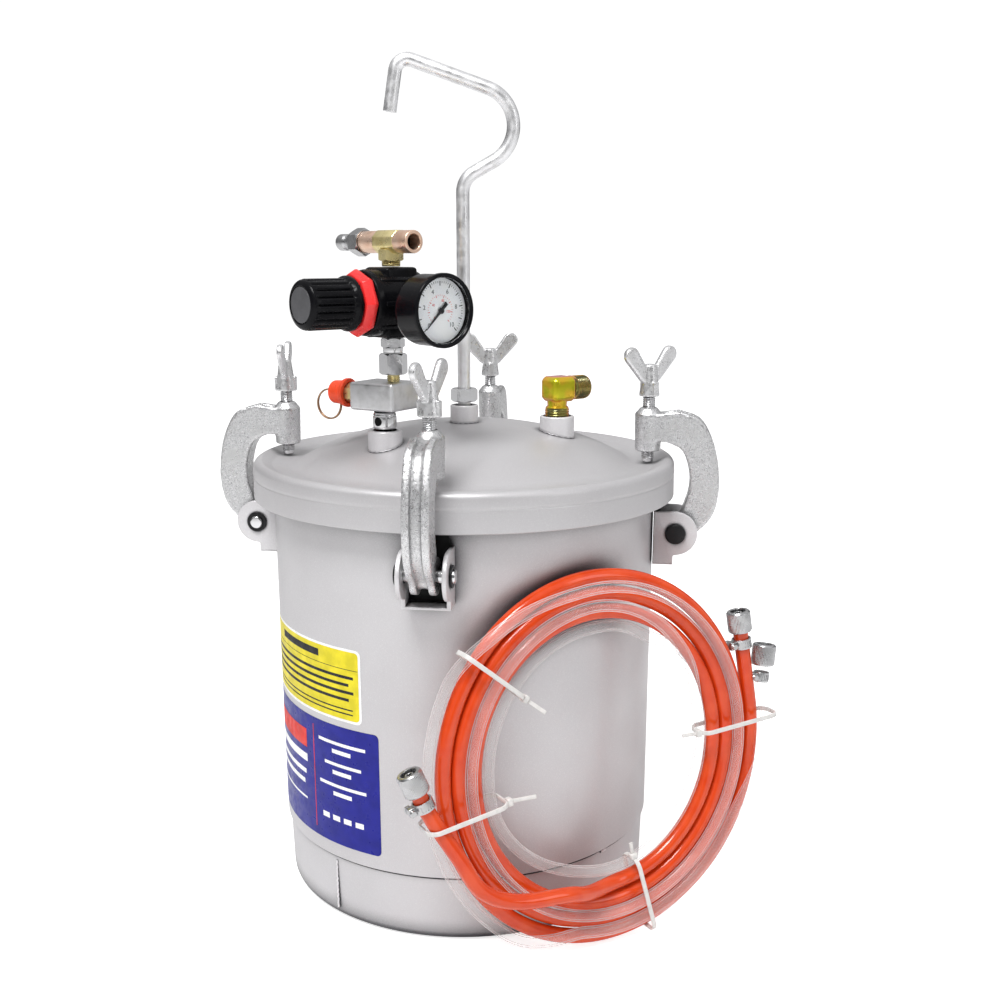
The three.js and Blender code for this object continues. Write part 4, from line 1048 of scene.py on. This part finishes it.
def regulator():
    half, bottom, top = 11, low("regulator_body").z, high("regulator_body").z
    ports = moved(softened(box(-half, half, -half, half, bottom, top), 2.2, 4), STACK)
    core = turned(
        outline([(0, -19), (14.5, -19, 1.5), (17.8, -14.5, 3), (18.6, 18, 1), (18, 21.4, 1), (13, 21.4), (13, 29.4), (0, 29.4)], False), 96
    )
    ribs = [moved(box(17.4, 19.1, -1.3, 1.3, -12, 17), Matrix.Rotation(math.radians(a), 4, "Z")) for a in range(0, 360, 45)]
    gauge_port = moved(bar(7.4, 0, GAUGE["back"] - 5), GAUGE_AXIS)
    body = gathered(ports, moved(gathered(core, *[softened(rib, 0.5) for rib in ribs]), KNOB_AXIS), gauge_port)
    add("regulator_casting", body, BLACK_SATIN, "regulator_body")
    collar = turned([(13.6, 21.8), (18, 21.8), (19, 24.3), (16.7, 28.6), (13.6, 28.6)], 8, True)
    collar = with_tool(softened(collar, 0.6, 3), turned([(0, 20), (19.0, 20), (19.0, 25), (17.6, 30), (0, 30)], 96), "INTERSECT")
    collar = with_tool(collar, turned([(0, 19), (13.6, 19), (13.6, 31), (0, 31)], 96), "DIFFERENCE")
    add("lock_collar", moved(collar, KNOB_AXIS), RED, "regulator_collar")


def knob():
    """The grip: rounded ribs that fade into a plain shoulder, over a flared foot."""
    sides = KNOB["ribs"] * 10
    profile = outline(
        [
            (0, KNOB["near"]),
            (KNOB["flare_r"], KNOB["near"], 0.6),
            (KNOB["flare_r"], KNOB["near"] + 2.2, 1.2),
            (KNOB["r"], KNOB["near"] + 4.6, 2),
            (KNOB["r"] - 0.3, KNOB["far"] - 1.5, 2.6),
            (10.4, KNOB["far"], 0.5),
            (10.1, KNOB["far"] - 0.8, 0.2),
            (0, KNOB["far"] - 0.8),
        ],
        False,
        10,
    )
    foot, shoulder = KNOB["near"] + 4.4, KNOB["far"] - 4
    body = turned([*[p for p in profile if p[1] < foot], *[(KNOB["r"], foot + k * (shoulder - foot) / 20) for k in range(21)], *[p for p in profile if p[1] > shoulder]], sides)
    for vertex in body.vertices:
        r = math.hypot(vertex.co.x, vertex.co.y)
        fade = min(1, max(0, (vertex.co.z - foot + 0.5) / 1.5)) * min(1, max(0, (KNOB["far"] - 2 - vertex.co.z) / 2.5))
        if r > 12:
            groove = max(0, math.cos(KNOB["ribs"] * math.atan2(vertex.co.y, vertex.co.x))) ** 2
            vertex.co.xy *= 1 - 1.25 * fade * groove / r
    add("knob_grip", moved(body, KNOB_AXIS), BLACK_SATIN, "regulator_knob", smooth=50)
    disc = turned(outline([(0, KNOB["far"] - 0.9), (9.9, KNOB["far"] - 0.9, 0.2), (9.6, KNOB["far"] - 0.25, 0.3), (0, KNOB["far"] - 0.1)], False))
    add("knob_end_cap", moved(disc, KNOB_AXIS), GREY_CAP, "regulator_knob", False)


def digits(text, size, x, y, z):
    curve = bpy.data.curves.new("digits", "FONT")
    curve.body = text
    curve.size = size
    curve.extrude = 0.03
    curve.align_x = "CENTER"
    curve.align_y = "CENTER"
    holder = bpy.data.objects.new("digits", curve)
    bpy.context.scene.collection.objects.link(holder)
    mesh = bpy.data.meshes.new_from_object(holder.evaluated_get(bpy.context.evaluated_depsgraph_get()))
    bpy.data.objects.remove(holder)
    return moved(mesh, Matrix.Translation((x, y, z)))


def ticks(count, inner, outer, width, z):
    """Scale marks from lower left round to lower right."""
    marks = []
    for k in range(count + 1):
        spin = Matrix.Rotation(math.radians(225 - 270 * k / count), 4, "Z")
        marks.append(moved(box(inner, outer, -width / 2, width / 2, z, z + 0.06), spin))
    return gathered(*marks)


def gauge():
    r, front, back = GAUGE["r"], GAUGE["front"], GAUGE["back"]
    shape = outline(
        [
            (0, back - 4.7),
            (5, back - 4.7),
            (5, back),
            (r - 1.4, back, 1.4),
            (r - 0.7, back + 3, 2),
            (r - 0.7, front - 4.2, 0.4),
            (r, front - 3.4, 0.6),
            (r, front - 0.2, 1),
            (r - 1.6, front, 0.8),
            (GAUGE["glass"] + 0.3, front - 1, 0.5),
            (GAUGE["glass"] + 0.3, GAUGE["dial"] - 2),
            (0, GAUGE["dial"] - 2),
        ],
        False,
    )
    add("gauge_cup", moved(turned(shape, 96), GAUGE_AXIS), BLACK_GLOSS, "gauge_case")
    z = GAUGE["dial"]
    add("dial_plate", moved(bar(GAUGE["glass"], z - 0.8, z, 0.1, 96), GAUGE_AXIS), DIAL_WHITE, "gauge_dial")
    black = [ticks(10, 13.4, 15.8, 0.5, z), ticks(50, 14.7, 15.8, 0.22, z)]
    for k in range(6):
        x, y = 11.1 * turn(225 - 54 * k)
        black.append(digits(str(2 * k), 3.4, x, y, z + 0.04))
    add("dial_marks", moved(gathered(*black), GAUGE_AXIS), INK_BLACK, "gauge_dial", False)
    red = [ticks(7, 7.2, 8.6, 0.34, z), ticks(28, 7.9, 8.6, 0.2, z)]
    for k in range(4):
        x, y = 5.6 * turn(225 - 270 * 2 * k / 7)
        red.append(digits(str(40 * k), 1.9, x, y, z + 0.04))
    add("dial_inner_marks", moved(gathered(*red), GAUGE_AXIS), INK_RED, "gauge_dial", False)
    pointer = prism([(14.4, 0.12), (14.4, -0.12), (0, -0.75), (-5.6, -1.1), (-5.6, 1.1), (0, 0.75)], z + 0.7, z + 1.1)
    hub = bar(1.8, z + 0.5, z + 1.6)
    needle = gathered(moved(pointer, Matrix.Rotation(math.radians(225), 4, "Z")), hub)
    add("dial_pointer", moved(needle, GAUGE_AXIS), INK_BLACK, "gauge_needle")
    add("gauge_window", moved(bar(GAUGE["glass"], front - 2.2, front - 1.2, 0.2, 96), GAUGE_AXIS), GLASS, "gauge_lens")


# ---- the branch tee on the regulator, and the air line's plug ----


def tee():
    axis = middle("air_plug").z
    side = STACK @ Matrix.Translation((0, 0, axis)) @ Matrix.Rotation(math.pi / 2, 4, "Y")
    middle_part = cut(softened(prism([7 * turn(45 * k + 22.5) for k in range(8)], -9.6, 9.6), 0.7), bar(4.6, 5, 30))
    leg = hexagon(12.4, high("regulator_body").z + 3.4, axis - 4, 0.8)
    thread = threaded(5.5, high("regulator_body").z + GAP, high("regulator_body").z + 4, 1, 0.4)
    brass_part = gathered(moved(middle_part, side), moved(gathered(leg, thread), STACK))
    add("tee_body", brass_part, BRASS, "inlet_tee", smooth=25)
    mouth = tube(6.3, 4.3, 9.2, 22, 0.5)
    back_end = bar(6.2, -24, -9.2, 0.4)
    add("tee_ends", moved(gathered(mouth, back_end), side), COPPERY, "inlet_tee", False)
    add("tee_passage", moved(bar(4.25, 5.1, 13), side), SHADOW_BLACK, "inlet_tee", False)

    back = STACK @ Matrix.Translation((0, 0, axis)) @ Matrix.Rotation(-math.pi / 2, 4, "Y")
    start = 24.3
    tip = outline(
        [
            (2.4, start + 8),
            (6, start + 8),
            (6, start + 12, 0.6),
            (3.9, start + 14, 0.5),
            (3.9, start + 17, 0.8),
            (4.8, start + 18.5, 0.6),
            (4.8, start + 24.5, 0.8),
            (3.6, start + 26, 0.4),
            (2.4, start + 26),
        ]
    )
    plug = gathered(cut(hexagon(14, start, start + 9, 1.2), bar(2.4, start + 4, start + 12)), turned(tip, 48, True))
    add("quick_plug", moved(plug, back), STAINLESS, "air_plug", smooth=25)


# ---- outlet: X is the way the elbow opens ----


def outlet():
    place = standing(OUTLET_AT.x, OUTLET_AT.y, pointing("outlet_elbow", OUTLET_AT.x, OUTLET_AT.y))
    boss_top = BOSSES["outlet_boss"][2]
    bottom, top = 309.9, high("outlet_elbow").z
    axis = (bottom + top) / 2
    reach_out, half, thread_r = 10.2, 8, 7.5
    knee = softened(box(-half, reach_out, -half, half, bottom, top), 2.6, 1)
    knee = softened(knee, 0.7, 3, 20)
    foot_thread = threaded(7.7, boss_top - 12, boss_top + 5, 1.5, 0.5, 40)
    throat = [(0, boss_top + 4), (7, boss_top + 4), (7, boss_top + 5.4, 0.4), (6, boss_top + 6.2, 0.8)]
    neck = turned(outline([*throat, (6.3, bottom + 1), (0, bottom + 1)], False))
    sideways = Matrix.Translation((0, 0, axis)) @ Matrix.Rotation(math.pi / 2, 4, "Y")
    rim = bar(7.6, reach_out - 1, reach_out + 1.2)
    spout = gathered(rim, threaded(thread_r, reach_out + 1, 22, 1.3, 0.5, 40), bar(6.6, 20, 22.6))
    bore = moved(bar(4, 0, 30), sideways)
    rise = bar(4, boss_top - 14, axis)
    body = cut(gathered(knee, neck), bore, rise, overlapping=True)
    add("forged_elbow", moved(body, place), PASSIVATION, "outlet_elbow", smooth=40)
    spout = cut(moved(spout, sideways), bore, overlapping=True)
    threads = gathered(spout, cut(foot_thread, bar(4, boss_top - 14, boss_top + 10)))
    add("elbow_threads", moved(threads, place), OLIVE, "outlet_elbow", False, 40)
    bottom, top = low("dip_tube").z, high("dip_tube").z
    pipe = moved(tube(5, 4, bottom, top, 0.3), Matrix.Translation((OUTLET_AT.x, OUTLET_AT.y, 0)))
    add("steel_dip_tube", pipe, STAINLESS, "dip_tube")


# ---- hoses: the coil lies in its own XY plane, Z towards the viewer, and is then stood up ----

COIL = {"outer": 109.6, "tall": 1.075, "pitch": 9.3, "lean": 4.5, "start": 8}
COIL_PLACE = (
    Matrix.Translation((96.2, -99.2, 117))
    @ Matrix.Rotation(math.radians(bearing(along("hose_set_away")) + 90), 4, "Z")
    @ Matrix.Rotation(math.radians(90 - COIL["lean"]), 4, "X")
)
GROOVE = -COIL["pitch"] / 2

# Turn by turn, each hose keeps to one spiral, moved off it by steps of (turns, outwards or forwards).
# The orange hose comes back over the front to leave at the left. The clear hose lies in the grooves
# between the orange turns, runs outside them at the left, and inside them for its last turn.
FLUID = {
    "r": 4.5,
    "turns": 3.525,
    "lead": 45,
    "splay": 0,
    "outwards": [(3.33, 0), (3.45, 30), (3.6, 62)],
    "forwards": [(3.25, -1), (3.35, 15), (3.43, 15), (3.54, 8)],
}
AIR = {
    "r": 3.5,
    "turns": 2.95,
    "lead": 20,
    "splay": 3,
    "outwards": [(0, 9.3), (0.11, GROOVE), (0.3, GROOVE), (0.38, 8.6), (0.6, 8.6), (0.75, GROOVE)]
    + [(1.75, GROOVE), (1.98, -17.9), (2.3, -17.9), (2.5, -8.6), (2.85, -8.6), (2.95, 3)],
    "forwards": [(-0.01, 0), (0.04, 7.8), (0.11, 6.3), (0.3, 6.3), (0.33, 8), (0.35, 7), (0.39, -1)]
    + [(0.6, -1), (0.655, 8.2), (0.75, 6.3), (1.75, 6.3), (1.84, 8), (1.9, 6.5), (1.98, -1)]
    + [(2.75, -1), (2.85, -9.8)],
}
TIE_ANGLES = (140, 4, 190, 284)


def eased(steps, t):
    """The value at t of (t, value) steps, eased from each one to the next."""
    if t <= steps[0][0]:
        return steps[0][1]
    for (t0, v0), (t1, v1) in zip(steps, steps[1:]):
        if t < t1:
            u = (t - t0) / (t1 - t0)
            return v0 + (v1 - v0) * u * u * (3 - 2 * u)
    return steps[-1][1]


def hose_point(hose, along_it):
    """A point of a hose: it comes down its top end and coils clockwise."""
    start_r = COIL["outer"] - FLUID["r"]
    r = start_r - COIL["pitch"] * max(0, along_it) + eased(hose["outwards"], along_it)
    z = eased(hose["forwards"], along_it)
    rise = max(0, -along_it) * 2 * math.pi * start_r
    r += hose["splay"] * (rise / hose["lead"]) ** 2
    angle = COIL["start"] - max(0, along_it) * 360
    out, up = r * turn(angle), rise * turn(COIL["start"] + 90)
    return Vector((out.x + up.x, COIL["tall"] * out.y + up.y, z))


def hose_path(hose, count=720):
    lead = hose["lead"] / (2 * math.pi * (COIL["outer"] - FLUID["r"]))
    return [hose_point(hose, (hose["turns"] + lead) * k / count - lead) for k in range(count + 1)]


def at_end(path, first, beyond):
    """A place near one end of a hose, Z along the hose and away from it."""
    here, inside = (path[0], path[1]) if first else (path[-1], path[-2])
    direction = (here - inside).normalized()
    return COIL_PLACE @ lying(here + beyond * direction, direction)


def hose_nut():
    sides = 192
    body = turned(outline([(3.4, 0, 0.3), (6.6, 0, 0.5), (7.2, 1, 0.4), (7.2, 12, 0.4), (6.4, 13, 0.4), (4.6, 13, 0.2), (4.6, 9), (3.4, 9)]), sides, True)
    body = changed(body, "SUBSURF", levels=1, subdivision_type="SIMPLE")
    for vertex in body.vertices:
        r = math.hypot(vertex.co.x, vertex.co.y)
        if r > 6.9 and 2.2 < vertex.co.z < 10.8:
            knurl = abs(math.sin(24 * math.atan2(vertex.co.y, vertex.co.x)))
            vertex.co.xy *= 1 - 0.45 * (1 - knurl) / r
    return gathered(body, tube(2.6, 1.5, 2, 12, 0.3))


def hose_clamp(hose_r):
    """A worm-drive clamp: a slotted band, the screw's housing and the screw."""
    inner = hose_r + 0.5
    outer = inner + 0.9
    band = tube(outer, inner, 0, 6, 0.2, 64)
    slots = []
    for angle in range(60, 320, 16):
        slots.append(moved(box(outer - 0.4, outer + 1, -0.35, 0.35, 1.2, 4.8), Matrix.Rotation(math.radians(angle), 4, "Z")))
    band = cut(band, *slots)
    housing = softened(box(outer - 0.6, outer + 3.4, -2.6, 2.6, 0.4, 5.6), 0.6)
    across_band = Matrix.Translation((outer + 1.8, 0, 3)) @ Matrix.Rotation(math.pi / 2, 4, "X")
    screw = moved(gathered(hexagon(4.6, 2.8, 5.2, 0.5), threaded(1.9, -4.6, 3, 0.9, 0.35, 24)), across_band)
    return gathered(band, housing, screw)


def bundle_at(angle, paths):
    """The space the hoses take up where they pass an angle: across the bundle, then through it."""
    spin = Matrix.Rotation(-math.radians(angle), 4, "Z")
    near, far = Vector((math.inf, math.inf)), Vector((-math.inf, -math.inf))
    for path, r in paths:
        for place in (spin @ p for p in path):
            if place.x > 0 and abs(place.y) < 4:
                near = Vector((min(near.x, place.x - r), min(near.y, place.z - r)))
                far = Vector((max(far.x, place.x + r), max(far.y, place.z + r)))
    return near, far


def cable_tie(near, far, tail, twist):
    """A nylon band round the bundle, with its head on the inside and a cut tail."""
    gap, thick, half = 0.4, 1.1, 1.3
    loops = []
    for out, corner in ((gap + thick, 6.5), (gap, 5.4)):
        x0, z0, x1, z1 = near.x - out, near.y - out, far.x + out, far.y + out
        loops.append(outline([(x0, z0, corner), (x1, z0, corner), (x1, z1, corner), (x0, z1, corner)], True, 12))
    count = len(loops[0])
    verts = [(x, y, z) for y in (-half, half) for loop in loops for x, z in loop]
    faces = []
    for k in range(count):
        n = (k + 1) % count
        for a, b in ((0, 1), (2, 3), (0, 2), (1, 3)):
            faces.append((a * count + k, a * count + n, b * count + n, b * count + k))
    band = softened(solid(verts, faces), 0.25, 2)
    x, z = near.x - gap - thick, far.y - 4
    head = softened(box(x - 2.6, x + 0.6, -2.2, 2.2, z - 2.6, z + 2.2), 0.6)
    strip = softened(box(-tail, 0.6, -1.1, 1.1, -0.5, 0.5), 0.25)
    lean = Matrix.Translation((x - 2.4, 0, z)) @ Matrix.Rotation(math.radians(twist), 4, "Y")
    return gathered(band, head, moved(strip, lean))


def hoses():
    fluid, air = hose_path(FLUID), hose_path(AIR)
    add("orange_hose", moved(swept(fluid, FLUID["r"], 24, bore=2.9), COIL_PLACE), ORANGE_HOSE, "fluid_hose", smooth=60)
    add("clear_hose", moved(swept(air, AIR["r"], 24, bore=2.4), COIL_PLACE), CLEAR_HOSE, "air_hose", smooth=60)
    tails = [(13, 20), (9, -12), (14, 25), (8, 10)]
    for k, (angle, (tail, twist)) in enumerate(zip(TIE_ANGLES, tails)):
        near, far = bundle_at(angle, [(fluid, FLUID["r"]), (air, AIR["r"])])
        place = COIL_PLACE @ Matrix.Rotation(math.radians(angle), 4, "Z")
        add(f"nylon_tie_{k + 1}", moved(cable_tie(near, far, tail, twist), place), NYLON, f"cable_tie_{k + 1}")
    nut = hose_nut()
    for name, path, first in (("fluid_top", fluid, True), ("air_top", air, True), ("fluid_side", fluid, False)):
        add(f"end_nut_{name}", moved(nut, at_end(path, first, GAP)), STAINLESS, f"hose_nut_{name}")
    back = -10
    for name, hose, path in (("fluid_top", FLUID, fluid), ("air_top", AIR, air)):
        clamp = moved(hose_clamp(hose["r"]), at_end(path, True, back))
        add(f"worm_clamp_{name}", clamp, STAINLESS, f"hose_clamp_{name}")
    side_clamp = moved(hose_clamp(FLUID["r"]), at_end(fluid, False, back))
    add("worm_clamp_fluid_side", side_clamp, STAINLESS, "hose_clamp_fluid_top", False)


tank()
foot()
yellow_label()
blue_label()
lid()
gasket()
clamps()
add_hook()
swivel()
block()
relief_valve()
stack()
regulator()
knob()
gauge()
tee()
outlet()
hoses()

# ---- stage ----


def camera():
    data = bpy.data.cameras.new("camera")
    data.lens = 43.9
    data.sensor_width = 36
    data.shift_y = 0.068
    made = bpy.data.objects.new("camera", data)
    bpy.context.scene.collection.objects.link(made)
    made.location = AXIS + Vector((125.1, -758.2, 398.65)) * MM
    made.rotation_euler = (math.radians(90 - 14.48), math.radians(0), math.radians(7.694))
    bpy.context.scene.camera = made


def floor():
    size = 6.0
    data = bpy.data.meshes.new("floor")
    data.from_pydata([(-size, -size, 0), (size, -size, 0), (size, size, 0), (-size, size, 0)], [], [(0, 1, 2, 3)])
    look = Look("floor", (0.9, 0.9, 0.9), Roughness=0.8)
    look.shader.inputs["Emission Color"].default_value = (1, 1, 1, 1)
    seen = look.tree.nodes.new("ShaderNodeLightPath").outputs["Is Camera Ray"]
    look.vary("Emission Strength", seen, 0.12, 0.75, 0, 1)
    look.tint(look.noise(300, 2), (0.88, 0.88, 0.88))
    data.materials.append(look.material)
    made = bpy.data.objects.new("floor", data)
    bpy.context.scene.collection.objects.link(made)


def area(name, at, towards, size, power):
    data = bpy.data.lights.new(name, "AREA")
    data.shape = "RECTANGLE"
    data.size, data.size_y = size
    data.energy = power
    made = bpy.data.objects.new(name, data)
    bpy.context.scene.collection.objects.link(made)
    made.location = at
    made.rotation_euler = (Vector(towards) - Vector(at)).to_track_quat("-Z", "Y").to_euler()


def ramp(tree, value, stops):
    """Grey shades between 0 and 1, eased from stop to stop."""
    node = tree.nodes.new("ShaderNodeValToRGB")
    node.color_ramp.interpolation = "EASE"
    elements = node.color_ramp.elements
    elements.remove(elements[1])
    for k, (position, shade) in enumerate(stops):
        stop = elements[0] if k == 0 else elements.new(position)
        stop.position = position
        stop.color = (shade, shade, shade * 1.01, 1)
    tree.links.new(value, node.inputs["Fac"])
    return node.outputs["Color"]


def mixed(tree, share, first, second):
    node = tree.nodes.new("ShaderNodeMix")
    node.data_type = "RGBA"
    for name, value in (("Factor", share), ("A", first), ("B", second)):
        if isinstance(value, bpy.types.NodeSocket):
            tree.links.new(value, node.inputs[name])
        else:
            node.inputs[name].default_value = value
    return node.outputs["Result"]


def sky():
    """Plain white behind the object, with softboxes and dark cards round it for the metal to reflect."""
    world = bpy.data.worlds.new("studio")
    bpy.context.scene.world = world
    world.use_nodes = True
    tree = world.node_tree
    place = tree.nodes.new("ShaderNodeTexCoord").outputs["Generated"]
    split = tree.nodes.new("ShaderNodeSeparateXYZ")
    tree.links.new(place, split.inputs["Vector"])
    around = tree.nodes.new("ShaderNodeTexGradient")
    around.gradient_type = "RADIAL"
    tree.links.new(place, around.inputs["Vector"])
    boxes = [(0.0, 0.3), (0.05, 0.03), (0.12, 0.03), (0.17, 0.5), (0.235, 0.5), (0.255, 0.02), (0.285, 0.02)]
    boxes += [(0.305, 0.5), (0.34, 0.03), (0.41, 0.03)]
    boxes += [(0.46, 0.35), (0.54, 0.75), (0.6, 0.75), (0.63, 0.03), (0.67, 0.03), (0.71, 0.5), (0.8, 0.5)]
    boxes += [(0.84, 0.03), (0.92, 0.03), (0.96, 0.3)]
    ring_of_boxes = ramp(tree, around.outputs["Fac"], boxes)
    upper = ramp(tree, split.outputs["Z"], [(0.0, 0), (0.25, 0.1), (0.75, 1)])
    lit = mixed(tree, upper, ring_of_boxes, (0.85, 0.85, 0.86, 1))
    camera_ray = tree.nodes.new("ShaderNodeLightPath").outputs["Is Camera Ray"]
    tree.links.new(mixed(tree, camera_ray, lit, (1.3, 1.3, 1.3, 1)), tree.nodes["Background"].inputs["Color"])
    tree.nodes["Background"].inputs["Strength"].default_value = 0.8


camera()
floor()
sky()
area("key", (-0.3, -0.95, 1.85), (0, 0, 0.2), (0.7, 0.6), 32)
area("side", (1.3, -0.7, 0.9), (0, 0, 0.25), (0.4, 1.0), 3)
bpy.context.scene.view_settings.view_transform = "Standard"
